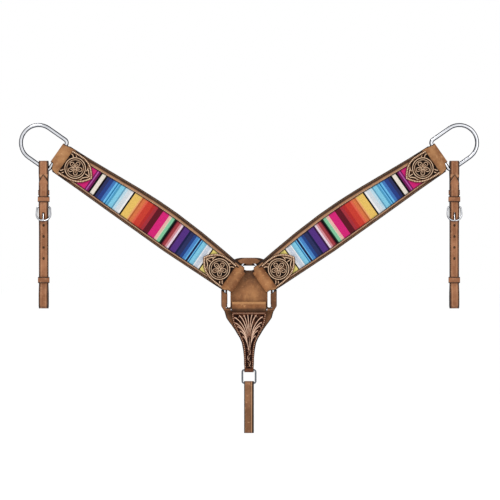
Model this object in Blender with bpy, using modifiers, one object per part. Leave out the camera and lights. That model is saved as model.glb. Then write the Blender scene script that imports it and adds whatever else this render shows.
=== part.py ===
"""Breastplate (western breast collar) of a saddle horse.

Metres, +Z up. The collar hangs flat, as on a rack, and its front faces -Y. The origin is on the back
face of the ring safe, which lies on the horse's chest. The helpers take millimetres.
A wing is drawn in its own frame: a runs outward along the wing from the origin, b runs across it, upward.
"""
import math

import bmesh
import bpy
from mathutils import Matrix, Vector

MM = 0.001

# Sheet thicknesses, wire radii and the gap between pieces that touch.
GAP = 0.3
LEATHER = 2.2
SAFE = 2.5
WING_CORE = 5.0
SERAPE = 1.2
CARVED = 2.0
WRAP = 1.6
RING_WIRE = 2.5
DEE_WIRE = 4.0
SMALL_WIRE = 1.75
TONGUE_WIRE = 1.1

# Depths: the wing loops fold round the hardware, with their back leg clear of the safe.
SAFE_CLEARANCE = 0.9
BACK_LEG_Y = -(SAFE + SAFE_CLEARANCE + LEATHER / 2)
HARDWARE_Y = BACK_LEG_Y - LEATHER / 2 - GAP - RING_WIRE
FRONT_LEG_Y = 2 * HARDWARE_Y - BACK_LEG_Y
CORE_FRONT_Y = HARDWARE_Y - WING_CORE / 2
SERAPE_Y = CORE_FRONT_Y - GAP - SERAPE / 2
CARVED_Y = FRONT_LEG_Y - LEATHER / 2 - GAP - CARVED / 2

# The tabs that hold the ring to the safe.
WRAP_Y = -12.0
WRAP_FOOT = -48.6

# Wings.
WING_ANGLE = math.radians(35)
WING_HINGE = 36.0
WING_INNER, WING_OUTER = 39.5, 455.0
WING_EDGE_ROUNDING = 150
WING_TOP = [(39.5, 27), (80, 31.3), (140, 36.2), (200, 38.8), (245, 38.6), (290, 36.5), (350, 31.9),
            (410, 27.4), (455, 25.2)]
WING_BOTTOM = [(39.5, -35.4), (110, -37.4), (180, -39.2), (300, -38), (395, -36.8), (455, -36.8)]
BORDER_INNER, BORDER_OUTER = 50.3, 438.7
BORDER_STEP = 20.3
WINDOW_INNER, WINDOW_OUTER = 62.0, 427.0
WINDOW_TOP_INSET, WINDOW_BOTTOM_INSET = 12.0, 8.5
PATCH_INNER, PATCH_OUTER = 45.5, 444.0

# Dee rings at the wings' outer ends.
DEE_NEAR, DEE_FAR = 462.5, 545.5
DEE_LOW, DEE_HIGH = -40.5, 30.5

# Tug straps.
TUG_X = 410.5
TUG_HALF = 9.5
BAR_Z, BAR_Y = 160.0, -10.3
HEEL_Z, HEEL_Y = 132.75, -16.35
BILLET_HOLES = [123, 101, 79, 57]

# Drop and girth strap.
DROP_AXIS_Z = -45.0
SMALL_RING_Y = -9.15
SMALL_RING_TOP, SMALL_RING_BOTTOM = -165.75, -192.25
GIRTH_HALF = 9.75

SIDES = {"left": -1, "right": 1}

COLOURS = {
    "tan_leather": ((0.40, 0.24, 0.13), 0.75, 0.0),
    "dark_leather": ((0.16, 0.09, 0.05), 0.7, 0.0),
    "carved_leather": ((0.30, 0.17, 0.08), 0.5, 0.0),
    "serape_cloth": ((0.45, 0.10, 0.20), 0.95, 0.0),
    "nickel": ((0.75, 0.75, 0.76), 0.2, 1.0),
}

bodies = {}


# ---------------------------------------------------------------- helpers

def start_scene():
    for old in list(bpy.data.objects):
        bpy.data.objects.remove(old)
    for name in ("breastplate", "cutters"):
        group = bpy.data.collections.new(name)
        bpy.context.scene.collection.children.link(group)


def material(name):
    found = bpy.data.materials.get(name)
    if found:
        return found
    colour, roughness, metallic = COLOURS[name]
    made = bpy.data.materials.new(name)
    made.use_nodes = True
    shader = made.node_tree.nodes["Principled BSDF"]
    shader.inputs["Base Color"].default_value = (*colour, 1)
    shader.inputs["Roughness"].default_value = roughness
    shader.inputs["Metallic"].default_value = metallic
    return made


def add_body(name, x, y, z):
    """An empty on the joint's axis, which the pieces of one moving body hang from."""
    empty = bpy.data.objects.new("body_" + name, None)
    empty.location = Vector((x, y, z)) * MM
    empty.empty_display_size = 0.02
    bpy.data.collections["breastplate"].objects.link(empty)
    bodies[name] = empty


def add_piece(name, data, body, finish):
    piece = bpy.data.objects.new(name, data)
    bpy.data.collections["breastplate"].objects.link(piece)
    data.materials.append(material(finish))
    holder = bodies[body]
    piece.parent = holder
    piece.matrix_parent_inverse = Matrix.Translation(-holder.location)
    return piece


def rounded(corners):
    """Turn corners (u, v, radius, widths...) into points, with an arc at each corner of some radius."""
    points = []
    for i, (u, v, radius, *widths) in enumerate(corners):
        here = Vector((u, v))
        if radius == 0:
            points.append((u, v, *widths))
            continue
        into = (here - Vector(corners[i - 1][:2])).normalized()
        out = (Vector(corners[(i + 1) % len(corners)][:2]) - here).normalized()
        turn = math.atan2(into.cross(out), into.dot(out))
        side = math.copysign(1, turn)
        start = here - into * radius * math.tan(abs(turn) / 2)
        spoke = Vector((into.y, -into.x)) * side * radius
        centre = start - spoke
        step = math.radians(15 if radius > 6 else 30)
        count = max(2, math.ceil(abs(turn) / step))
        for k in range(count + 1):
            point = centre + Matrix.Rotation(turn * k / count, 2) @ spoke
            points.append((point.x, point.y, *widths))
    return points


def signed_area(points):
    return sum(p[0] * q[1] - q[0] * p[1] for p, q in zip(points, points[1:] + points[:1])) / 2


def flat_curve(name, outlines, thickness):
    """A 2D curve filled and extruded to the thickness. The first outline is the edge, the rest are holes."""
    curve = bpy.data.curves.new(name, "CURVE")
    curve.dimensions = "2D"
    curve.fill_mode = "BOTH"
    curve.extrude = thickness / 2 * MM
    for outline in outlines:
        if signed_area(outline) < 0:
            outline = outline[::-1]
        spline = curve.splines.new("POLY")
        spline.points.add(len(outline) - 1)
        for point, (u, v) in zip(spline.points, outline):
            point.co = (u * MM, v * MM, 0, 1)
        spline.use_cyclic_u = True
    return curve


def plate(name, outlines, y_mid, thickness, body, finish):
    """A flat sheet standing in the XZ plane."""
    piece = add_piece(name, flat_curve(name, outlines, thickness), body, finish)
    piece.rotation_euler = (math.radians(90), 0, 0)
    piece.location = (0, y_mid * MM, 0)
    return piece


def keeper(name, x_mid, half, y_back, y_front, z_low, z_high, wall, body):
    """A flat leather band sewn into a closed loop round a strap; the y values are its inner faces."""
    def ring(out):
        corners = [(x_mid - half - out, y_front - out), (x_mid + half + out, y_front - out),
                   (x_mid + half + out, y_back + out), (x_mid - half - out, y_back + out)]
        return rounded([(*corner, 0.4 + out) for corner in corners])
    curve = flat_curve(name, [ring(wall), ring(0)], z_high - z_low)
    piece = add_piece(name, curve, body, "tan_leather")
    piece.location = (0, 0, (z_low + z_high) / 2 * MM)
    return piece


def ribbon(name, path, place, thickness, body, finish, widths=None):
    """A strap: path points (u, y, low, high) give its centre line and its two edges."""
    mesh = bpy.data.meshes.new(name)
    strip = bmesh.new()
    spans = [widths(u, y) if widths else span for u, y, *span in path]
    low = [strip.verts.new(place(u, lo, y)) for (u, y, *rest), (lo, hi) in zip(path, spans)]
    edges = [strip.edges.new(pair) for pair in zip(low, low[1:])]
    grown = bmesh.ops.extrude_edge_only(strip, edges=edges)["geom"]
    high = [item for item in grown if isinstance(item, bmesh.types.BMVert)]
    for vert in high:
        nearest = min(range(len(low)), key=lambda i: (low[i].co - vert.co).length)
        u, y = path[nearest][:2]
        vert.co = place(u, spans[nearest][1], y)
    bmesh.ops.recalc_face_normals(strip, faces=strip.faces)
    strip.to_mesh(mesh)
    strip.free()
    piece = add_piece(name, mesh, body, finish)
    solid = piece.modifiers.new("thickness", "SOLIDIFY")
    solid.thickness = thickness * MM
    solid.offset = 0
    solid.use_even_offset = True
    return piece


def wire(name, points, radius, body, closed=True):
    """A round wire along 3D points."""
    curve = bpy.data.curves.new(name, "CURVE")
    curve.dimensions = "3D"
    curve.bevel_depth = radius * MM
    curve.bevel_resolution = 2
    curve.use_fill_caps = not closed
    spline = curve.splines.new("POLY")
    spline.points.add(len(points) - 1)
    for point, (x, y, z) in zip(spline.points, points):
        point.co = (x * MM, y * MM, z * MM, 1)
    spline.use_cyclic_u = closed
    return add_piece(name, curve, body, "nickel")


def along(table, at):
    """Read a list of (position, value) pairs at a position, with straight lines between them."""
    for (p0, v0), (p1, v1) in zip(table, table[1:]):
        if min(p0, p1) <= at <= max(p0, p1):
            return v0 + (v1 - v0) * (at - p0) / (p1 - p0)
    return table[0][1] if abs(at - table[0][0]) < abs(at - table[-1][0]) else table[-1][1]


def edge_between(table, start, end, shift):
    """The corners of a wing edge from start to end, moved across the wing by shift."""
    inner = [(a, b + shift, WING_EDGE_ROUNDING) for a, b in table if start + 5 < a < end - 5]
    return [(start, along(table, start) + shift, 0)] + inner + [(end, along(table, end) + shift, 0)]


# ---------------------------------------------------------------- frames of the pieces

def wing_point(side, a, b):
    """X and Z of a point of a wing."""
    x = side * (a * math.cos(WING_ANGLE) - b * math.sin(WING_ANGLE))
    z = a * math.sin(WING_ANGLE) + b * math.cos(WING_ANGLE)
    return x, z


def wing_outline(side, corners):
    return [wing_point(side, a, b) for a, b in rounded(corners)]


def on_wing(side):
    def place(a, b, y):
        x, z = wing_point(side, a, b)
        return Vector((x, y, z)) * MM
    return place


def hanging(x_mid):
    def place(z, across, y):
        return Vector((x_mid + across, y, z)) * MM
    return place


def centred(corners):
    """Give corners (u, y, radius, half width) their two edges."""
    return [(u, y, radius, -half, half) for u, y, radius, half in corners]


def mirrored(corners):
    """The same corners on the other side of the middle plane, in the reverse order."""
    return [(-x, z, radius) for x, z, radius in reversed(corners)]


# ---------------------------------------------------------------- centre

def build_ring_safe():
    """The big flat piece that lies on the chest behind the ring, slotted for the ring's wraps."""
    left = [(-34, 58.5, 39), (-54.5, 30, 39), (-54.5, -4, 60), (-52, -38, 0), (-49, -50, 0)]
    outline = rounded(left + mirrored(left))
    lens = rounded([(-15, 42.4, 1), (15, 42.4, 1), (8, 33.2, 7.5), (-8, 33.2, 7.5)])
    slots = []
    for side in SIDES.values():
        inner, outer, low, high = 37.2, 43.6, -41, -6
        box = [(inner, low), (outer, low), (outer, high), (inner, high)]
        slots.append([(side * x, z) for x, z in rounded([(*c, 2.5) for c in box])])
    plate("ring_safe", [outline, lens] + slots, -SAFE / 2, SAFE, "centre", "tan_leather")


def build_centre_ring():
    left = [(-8.3, 51, 10), (-48.5, -6.4, 8), (-48.5, -45, 10)]
    points = rounded(left + mirrored(left))
    wire("centre_ring", [(x, HARDWARE_Y, z) for x, z in points], RING_WIRE, "centre")


def build_side_wrap(name, side):
    """A leather tab over the ring's upright side, cut slanting along the wing's loop, with a foot that
    reaches in over the ring's lower corner. Its inner wall stops short of that corner."""
    inner_edge, outer_slope = 45.2, 1.9
    section = rounded([(55, -3.9, 0), (53, WRAP_Y, 2), (inner_edge, WRAP_Y, 2), (43.9, -3.9, 0)])

    def edges(x, y):
        low = WRAP_FOOT + max(0, x - 49.5) * outer_slope
        if x < inner_edge + 2 and y > WRAP_Y + 0.1:
            low = -34
        return low, (-36.2 + x * math.sin(WING_ANGLE)) / math.cos(WING_ANGLE)

    def place(x, z, y):
        return Vector((side * x, y, z)) * MM
    tab = ribbon(name, section, place, WRAP, "centre", "tan_leather", edges)
    foot_low, foot_high, foot_inner, foot_outer = WRAP_FOOT + 0.1, -41.6, 36.4, 48.5
    size = (foot_outer - foot_inner, WRAP - 0.1, foot_high - foot_low)
    middle = (side * (foot_inner + foot_outer) / 2, WRAP_Y, (foot_low + foot_high) / 2)
    foot = tab.modifiers.new("foot", "BOOLEAN")
    foot.operation = "UNION"
    foot.object = cutter(name + "_foot", box_cutter(*size), middle)


def build_top_wrap():
    """The small tab round the top of the ring, between the two wings."""
    section = rounded([(57.8, -3.9, 0), (55.2, WRAP_Y, 2), (46.6, WRAP_Y, 2), (43.2, -3.9, 0)])
    under_ring = 7.6
    arc_radius, arc_z = 50.4, 8.1

    def edges(z, y):
        between_wings = (z * math.cos(WING_ANGLE) - 29.8) / math.sin(WING_ANGLE)
        half = min(between_wings, math.sqrt(arc_radius ** 2 - (z - arc_z) ** 2))
        if z < 47.5 and y > WRAP_Y + 0.1:
            half = under_ring
        return -half, half
    ribbon("ring_wrap_top", section, hanging(0), WRAP, "centre", "tan_leather", edges)


# ---------------------------------------------------------------- wings

def build_wing_sheets(side_name, side):
    body = side_name + "_wing"
    top = edge_between(WING_TOP, WING_INNER, WING_OUTER, 0)
    bottom = edge_between(WING_BOTTOM, WING_INNER, WING_OUTER, 0)
    core = wing_outline(side, bottom + top[::-1])
    plate(side_name + "_wing_backing", [core], HARDWARE_Y, WING_CORE, body, "dark_leather")

    top = edge_between(WING_TOP, WING_INNER, BORDER_OUTER, 0)
    bottom = edge_between(WING_BOTTOM, BORDER_INNER, BORDER_OUTER, 0)
    step = [(WING_INNER, BORDER_STEP, 0), (BORDER_INNER, BORDER_STEP, 0)]
    edge = wing_outline(side, bottom + top[::-1] + step)
    window = window_corners(0)
    name = side_name + "_wing_border"
    plate(name, [edge, wing_outline(side, window)], FRONT_LEG_Y, LEATHER, body, "tan_leather")
    cloth = wing_outline(side, window_corners(GAP))
    plate(side_name + "_serape_panel", [cloth], SERAPE_Y, SERAPE, body, "serape_cloth")


def window_corners(inset):
    """The opening in the wing's border, or the cloth that fills it with a gap all round."""
    start, end = WINDOW_INNER + inset, WINDOW_OUTER - inset
    bottom = edge_between(WING_BOTTOM, start, end, WINDOW_BOTTOM_INSET + inset)
    top = edge_between(WING_TOP, start, end, -WINDOW_TOP_INSET - inset)
    return bottom + top[::-1]


def build_patches(side_name, side):
    """The two pointed, flower-carved patches; s runs from a patch's straight base to its point."""
    shape = [(0, -33.5, 0), (30, -31.5, 60), (52, -20, 25), (64, -2.5, 2), (50, 15.5, 25), (28, 24, 45),
             (0, 22, 0)]
    inner = [(PATCH_INNER + s, b, radius) for s, b, radius in shape]
    outer = [(PATCH_OUTER - s, b, radius) for s, b, radius in shape]
    for label, corners in (("_inner_overlay", inner), ("_outer_overlay", outer)):
        outline = wing_outline(side, corners)
        plate(side_name + label, [outline], CARVED_Y, CARVED, side_name + "_wing", "carved_leather")


def build_wing_loops(side_name, side):
    body = side_name + "_wing"
    fold = 22.4
    low, high, flare = -29.5, 20, -34.5
    inner = [(60, BACK_LEG_Y, 0, low, high), (fold, BACK_LEG_Y, 3.85, low, high),
             (fold, FRONT_LEG_Y, 3.85, low, high), (30, FRONT_LEG_Y, 0, low, high),
             (44, FRONT_LEG_Y, 0, flare, high), (50, FRONT_LEG_Y, 0, flare, high)]
    ribbon(side_name + "_inner_loop", rounded(inner), on_wing(side), LEATHER, body, "tan_leather")

    fold, reach = 467.9, 5.4
    back, front = HARDWARE_Y + reach, HARDWARE_Y - reach
    half = 22.5
    outer = [(420, BACK_LEG_Y, 0, -half, half), (447, BACK_LEG_Y, 0, -half, half),
             (457, back, 0, -half, half), (fold, back, reach - 0.05, -half, half),
             (fold, front, reach - 0.05, -half, half), (457, front, 0, -34.6, 23.8),
             (447, FRONT_LEG_Y, 0, -36.8, 25.6), (439, FRONT_LEG_Y, 0, -36.8, 26)]
    ribbon(side_name + "_outer_loop", rounded(outer), on_wing(side), LEATHER, body, "tan_leather")


def build_dee(side_name, side):
    corners = [(DEE_NEAR, DEE_LOW, 8), (DEE_FAR, DEE_LOW, 35.4), (DEE_FAR, DEE_HIGH, 35.4),
               (DEE_NEAR, DEE_HIGH, 8)]
    points = [(x, HARDWARE_Y, z) for x, z in wing_outline(side, corners)]
    wire(side_name + "_dee", points, DEE_WIRE, side_name + "_dee")


# ---------------------------------------------------------------- tugs

def tug_path():
    """One strap: top loop, fold round the buckle's bar, bottom loop, and the billet up to its tip."""
    half = TUG_HALF
    corners = [(196, -7.15, 0, half), (156.85, -7.15, 3.1, half), (156.85, -13.45, 3.1, half),
               (160, -13.45, 0, half), (169, -9.65, 0, half), (214, -9.65, 0, half),
               (226, -15.5, 0, half), (251.5, -15.5, 7.05, half), (251.5, -1.3, 7.05, half),
               (226, -1.3, 0, half), (216, -4.65, 0, half), (150, -4.65, 0, half),
               (125, -7.15, 0, half), (5, -7.15, 0, half), (-14, -1.3, 0, half),
               (-41.9, -1.3, 7.05, half), (-41.9, -15.5, 7.05, half), (-14, -15.5, 0, half),
               (5, -9.65, 0, half), (112, -9.65, 0, half), (HEEL_Z, -11.6, 0, half),
               (152, -15.95, 0, half), (BAR_Z, -15.95, 0, half), (169, -13.65, 0, half),
               (208, -13.65, 0, half), (213, -13.65, 0, 7.9), (218, -15.45, 0, 5.2),
               (222, -16.9, 0, 2.4), (224, -17.6, 0, 0.8)]
    return rounded(centred(corners))


def cutter(name, mesh_maker, location, rotation=(0, 0, 0)):
    mesh = bpy.data.meshes.new(name)
    shape = bmesh.new()
    mesh_maker(shape)
    shape.to_mesh(mesh)
    shape.free()
    tool = bpy.data.objects.new(name, mesh)
    tool.location = Vector(location) * MM
    tool.rotation_euler = rotation
    tool.hide_render = True
    tool.display_type = "WIRE"
    bpy.data.collections["cutters"].objects.link(tool)
    return tool


def round_cutter(radius, length, sides):
    def make(shape):
        bmesh.ops.create_cone(shape, cap_ends=True, segments=sides, radius1=radius * MM,
                              radius2=radius * MM, depth=length * MM)
    return make


def box_cutter(x, y, z):
    def make(shape):
        bmesh.ops.create_cube(shape, size=1)
        bmesh.ops.scale(shape, vec=Vector((x, y, z)) * MM, verts=shape.verts)
    return make


def cut(piece, tool):
    slot = piece.modifiers.new(tool.name, "BOOLEAN")
    slot.operation = "DIFFERENCE"
    slot.object = tool


def build_tug_strap(side_name, side):
    x = side * TUG_X
    strap = ribbon(side_name + "_tug_strap", tug_path(), hanging(x), LEATHER, side_name + "_tug",
                   "tan_leather")
    quarter = math.radians(90)
    name = side_name + "_cut_"
    cut(strap, cutter(name + "bar_slot", round_cutter(4.45, 4.4, 20), (x, BAR_Y, BAR_Z), (0, quarter, 0)))
    cut(strap, cutter(name + "tongue_hole", box_cutter(5, 7.5, 11), (x, -14, 143.5)))
    for i, z in enumerate(BILLET_HOLES):
        hole = cutter(name + "hole_%d" % i, round_cutter(2.25, 5.6, 10), (x, -11.2, z), (quarter, 0, 0))
        cut(strap, hole)


def build_keepers(side_name, side):
    x = side * TUG_X
    half = TUG_HALF + GAP
    tug = side_name + "_tug"
    keeper(side_name + "_upper_keeper", x, half, -3.25, -11.05, 184, 194, 1.2, tug)
    keeper(side_name + "_middle_keeper", x, half, -3.25, -15.05, 170, 181, WRAP, tug)
    keeper(side_name + "_lower_keeper", x, half, -5.75, -11.05, 8, 20, WRAP, side_name + "_lower_keeper")


def build_buckle(side_name, side):
    """A horseshoe frame whose straight bar sits in the strap's fold, and the tongue curled on that bar."""
    x_mid = side * TUG_X
    run = Vector((HEEL_Z - BAR_Z, HEEL_Y - BAR_Y))
    length = run.length
    run.normalize()
    left = [(-12.8, 0, 3.5), (-13.9, 14, 20), (-13.9, length, 12.5)]
    outline = rounded(left + mirrored(left))
    points = [(x_mid + x, BAR_Y + run.y * t, BAR_Z + run.x * t) for x, t in outline]
    wire(side_name + "_buckle_frame", points, SMALL_WIRE, side_name + "_buckle")

    curl = SMALL_WIRE + TONGUE_WIRE + 0.25
    tip = Vector((132.2, HEEL_Y - SMALL_WIRE - TONGUE_WIRE - 0.8))
    bar = Vector((BAR_Z, BAR_Y))
    reach = (tip - bar).length
    leave = math.atan2(tip.y - bar.y, tip.x - bar.x) - math.acos(curl / reach)
    turns = 12
    route = []
    for k in range(turns + 1):
        angle = leave - math.radians(250) * (1 - k / turns)
        route.append((x_mid, bar.y + curl * math.sin(angle), bar.x + curl * math.cos(angle)))
    route.append((x_mid, tip.y, tip.x))
    wire(side_name + "_buckle_tongue", route, TONGUE_WIRE, side_name + "_tongue", closed=False)


# ---------------------------------------------------------------- drop and girth strap

def build_drop():
    loop = [(-150, -7.3, 0, 8.5), (-130, -7.3, 0, 9), (-95, -7.3, 0, 17), (-75, -7.3, 0, 32),
            (-64, -7.3, 0, 32), (-50, BACK_LEG_Y, 0, 33), (-30.5, BACK_LEG_Y, 3.85, 35),
            (-30.5, FRONT_LEG_Y, 3.85, 35), (-46, FRONT_LEG_Y, 0, 35), (-58, -9.8, 0, 32),
            (-75, -9.8, 0, 32), (-95, -9.8, 0, 17)]
    ribbon("drop_loop", rounded(centred(loop)), hanging(0), LEATHER, "drop", "tan_leather")

    depth = [(-50.3, -1.25), (-64, -4.65), (-156.5, -4.65)]
    half = [(-50.3, 48.8), (-62, 45.5), (-64, 44.2), (-70, 40), (-78, 34), (-86, 28.5), (-94, 23.8),
            (-102, 18.8), (-112, 14.5), (-126, 11.8), (-142, 10.2), (-156.5, 10)]
    back = [(z, along(depth, z), 0, width) for z, width in half]
    ribbon("drop_backing", rounded(centred(back)), hanging(0), SAFE, "drop", "dark_leather")

    face = [(-50.3, -14.8, 0, 34.6), (-62, FRONT_LEG_Y, 0, 33.8), (-70, FRONT_LEG_Y, 0, 32),
            (-78, FRONT_LEG_Y, 0, 29.7), (-86, FRONT_LEG_Y, 0, 25.5), (-94, FRONT_LEG_Y, 0, 21.3),
            (-103, FRONT_LEG_Y, 0, 16.6), (-112, FRONT_LEG_Y, 0, 12.9), (-122, FRONT_LEG_Y, 0, 11),
            (-134, FRONT_LEG_Y, 0, 10.1), (-163, FRONT_LEG_Y, 0, 9.4), (-168.9, FRONT_LEG_Y, 3.1, 9.4),
            (-168.9, -6, 3.1, 9.4), (-160, -6, 0, 9.4), (-154, -9.8, 0, 9.4), (-98, -9.8, 0, 9.4)]
    ribbon("drop_overlay", rounded(centred(face)), hanging(0), LEATHER, "drop", "carved_leather")


def build_drop_ring():
    half = 13.25
    corners = [(-half, SMALL_RING_TOP, 4), (-half, SMALL_RING_BOTTOM, 4), (half, SMALL_RING_BOTTOM, 4),
               (half, SMALL_RING_TOP, 4)]
    points = [(x, SMALL_RING_Y, z) for x, z in rounded(corners)]
    wire("drop_ring", points, SMALL_WIRE, "drop_ring")


def build_girth_strap():
    half = GIRTH_HALF
    corners = [(-230, -9.15), (-206, -9.15), (-197, -6), (-189.1, -6, 3.1), (-189.1, -12.3, 3.1),
               (-196, -12.3), (-206, -11.65), (-236, -10.95), (-291, -10.95, 1.75),
               (-291, -7.35, 1.75), (-236, -7.35), (-230, -6.65), (-207, -6.65)]
    full = [(z, y, *(radius or [0]), half) for z, y, *radius in corners]
    ribbon("girth_strap", rounded(centred(full)), hanging(0), LEATHER, "girth_strap", "tan_leather")


# ---------------------------------------------------------------- the whole collar

def add_bodies():
    add_body("centre", 0, 0, 0)
    add_body("drop", 0, HARDWARE_Y, DROP_AXIS_Z)
    add_body("drop_ring", 0, SMALL_RING_Y, SMALL_RING_TOP)
    add_body("girth_strap", 0, SMALL_RING_Y, SMALL_RING_BOTTOM)
    for name, side in SIDES.items():
        x, z = wing_point(side, WING_HINGE, 0)
        add_body(name + "_wing", x, HARDWARE_Y, z)
        x, z = wing_point(side, DEE_NEAR, 0)
        add_body(name + "_dee", x, HARDWARE_Y, z)
        across = (TUG_X + DEE_LOW * math.sin(WING_ANGLE)) / math.cos(WING_ANGLE)
        x, z = wing_point(side, across, DEE_LOW)
        add_body(name + "_tug", x, HARDWARE_Y, z)
        add_body(name + "_buckle", side * TUG_X, BAR_Y, BAR_Z)
        add_body(name + "_tongue", side * TUG_X, BAR_Y, BAR_Z)
        add_body(name + "_lower_keeper", side * TUG_X, HARDWARE_Y, 14)


def main():
    start_scene()
    add_bodies()
    build_ring_safe()
    build_centre_ring()
    build_top_wrap()
    for side_name, side in SIDES.items():
        build_side_wrap("ring_wrap_" + side_name, side)
        build_wing_sheets(side_name, side)
        build_patches(side_name, side)
        build_wing_loops(side_name, side)
        build_dee(side_name, side)
        build_tug_strap(side_name, side)
        build_keepers(side_name, side)
        build_buckle(side_name, side)
    build_drop()
    build_drop_ring()
    build_girth_strap()


main()
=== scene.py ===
"""Breastplate (western breast collar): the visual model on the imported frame.

Shapes are given in millimetres and turned into metres by the place functions.
A wing is drawn in its own frame: a runs outward along the wing, b runs across it, upward.
Depth is y, negative towards the front. A path's rows are (u, y, radius, low edge, high edge).
"""
import math

import bmesh
import bpy
import numpy as np
from mathutils import Matrix, Vector


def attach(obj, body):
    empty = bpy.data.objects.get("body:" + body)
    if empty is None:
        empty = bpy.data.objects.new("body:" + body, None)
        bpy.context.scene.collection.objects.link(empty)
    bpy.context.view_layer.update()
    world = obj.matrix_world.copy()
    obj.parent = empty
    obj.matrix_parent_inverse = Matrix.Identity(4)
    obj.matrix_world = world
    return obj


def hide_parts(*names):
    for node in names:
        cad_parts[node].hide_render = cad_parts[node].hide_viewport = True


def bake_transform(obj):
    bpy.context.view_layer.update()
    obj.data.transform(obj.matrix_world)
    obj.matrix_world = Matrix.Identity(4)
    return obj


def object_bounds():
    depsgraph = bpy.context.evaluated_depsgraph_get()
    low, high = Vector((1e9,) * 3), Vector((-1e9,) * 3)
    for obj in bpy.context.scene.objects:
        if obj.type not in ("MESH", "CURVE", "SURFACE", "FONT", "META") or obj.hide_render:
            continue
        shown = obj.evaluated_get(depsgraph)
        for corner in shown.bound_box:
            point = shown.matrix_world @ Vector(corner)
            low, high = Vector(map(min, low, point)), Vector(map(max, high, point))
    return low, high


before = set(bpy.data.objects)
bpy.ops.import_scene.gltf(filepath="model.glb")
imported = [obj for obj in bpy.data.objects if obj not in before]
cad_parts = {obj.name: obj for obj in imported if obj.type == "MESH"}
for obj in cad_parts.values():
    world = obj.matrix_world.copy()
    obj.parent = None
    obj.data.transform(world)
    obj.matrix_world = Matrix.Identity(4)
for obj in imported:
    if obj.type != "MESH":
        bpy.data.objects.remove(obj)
cad_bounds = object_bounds()

MM = 0.001
SIDES = {"left": -1, "right": 1}
QUARTER = math.radians(90)
WELD = 1e-6

# Thicknesses, wire radii and depths, as in the solids.
LEATHER, SAFE, CARVED, WRAP = 2.2, 2.5, 2.0, 1.6
HARDWARE_Y = -8.4
BACK_LEG_Y, FRONT_LEG_Y = -4.5, -12.3
CORE_BACK_Y, CORE_FRONT_Y = -5.9, -10.9
SERAPE_Y = -11.8
CARVED_Y = -14.7
RING_WIRE, DEE_WIRE, SMALL_WIRE, TONGUE_WIRE = 2.5, 4.0, 1.75, 1.1

# Radius of the middle line of leather folded round the centre ring, a small ring or bar, and a dee.
RING_FOLD, SMALL_FOLD, DEE_FOLD = 3.85, 3.1, 7.05

# Wings.
WING_ANGLE = math.radians(35)
COS, SIN = math.cos(WING_ANGLE), math.sin(WING_ANGLE)
WING_INNER, WING_OUTER = 39.5, 455.0
WING_EDGE_ROUNDING = 150
WING_TOP = [(39.5, 27), (80, 31.3), (140, 36.2), (200, 38.8), (245, 38.6), (290, 36.5), (350, 31.9),
            (410, 27.4), (455, 25.2)]
WING_BOTTOM = [(39.5, -35.4), (110, -37.4), (180, -39.2), (300, -38), (395, -36.8), (455, -36.8)]
WINDOW_INNER, WINDOW_OUTER = 62.0, 427.0
WINDOW_TOP_INSET, WINDOW_BOTTOM_INSET = 12.0, 8.5
BORDER_INNER, BORDER_OUTER = 50.3, 438.7
BORDER_CORNER_LOW = 20.3
STRIP_GAP = 0.05
SEAM_STATIONS = (64, 424, 3)

# Serape: its thickness, how far it tucks in from the window, and how sharply one stripe meets the next.
CLOTH, TUCK, BLUR = 1.0, 0.3, 0.12
CLOTH_COLUMNS, CLOTH_RIM, CLOTH_CROWN = 10, 0.25, 0.12

# Carved patches, from the end that a fold covers (0) to the pointed tip.
PATCH_INNER, PATCH_OUTER = 45.5, 444.0
PATCH_TIP = 64.0
PATCH_LOW = [(0, -33.5), (12, -33.3), (24, -32.2), (34, -30.1), (44, -25.8), (52, -19.6), (59, -11),
             (64, -2.5)]
PATCH_HIGH = [(0, 22), (14, 23.6), (28, 23.8), (38, 21.6), (46, 17.6), (53, 11.8), (59, 5), (64, -2.5)]
PATCH_RIM = PATCH_LOW + PATCH_HIGH[::-1][1:]
ROSE_CENTRE, ROSE_RADIUS = (23.5, -4.5), 20.5

# Tugs: depths of the plies of the strap, and heights and depths of the buckle's bar and heel.
TUG_X, TUG_HALF = 410.5, 9.5
PLY_BACK, PLY_INNER, PLY_MIDDLE, PLY_FRONT = -4.65, -7.15, -9.65, -13.65
OVER_DEE_BACK, OVER_DEE_FRONT = -1.3, -15.5
BAR_Z, BAR_Y = 160.0, -10.3
HEEL_Z, HEEL_Y = 132.75, -16.35
BILLET_HOLES = [123, 101, 79, 57]
# Half width of the billet's pointed tip against height, and the tip's depths at the same heights.
TUG_TIP = [(207, 9.5), (209.5, 9.2), (213, 7.9), (216, 6.3), (219, 4.5), (222, 2.4), (223.8, 0.9)]
TUG_TIP_Y = [PLY_FRONT, PLY_FRONT, PLY_FRONT, -14.7, -15.8, -16.9, -17.55]

# Wraps of the centre ring: their front depth, the depth of their ends, and the foot of the side wraps.
WRAP_Y, WRAP_END_Y, WRAP_FOOT = -12.0, -3.9, -48.6

# Drop and girth strap.
DROP_TOP = -50.3
DROP_FACE = [(DROP_TOP, 34.6), (-62, 33.8), (-70, 32), (-78, 29.7), (-86, 25.5), (-94, 21.3),
             (-103, 16.6), (-112, 12.9), (-122, 11), (-134, 10.1), (-163, 9.4), (-175, 9.4)]
DROP_FACE_TOP_Y = -14.8
SMALL_RING_Y = -9.15
SMALL_RING_TOP, SMALL_RING_BOTTOM, SMALL_RING_HALF = -165.75, -192.25, 13.25
GIRTH_HALF = 9.75

# The studio lights the front of the collar to this many times a surface's own colour.
FRONT_LIGHT = 1.3

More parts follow.
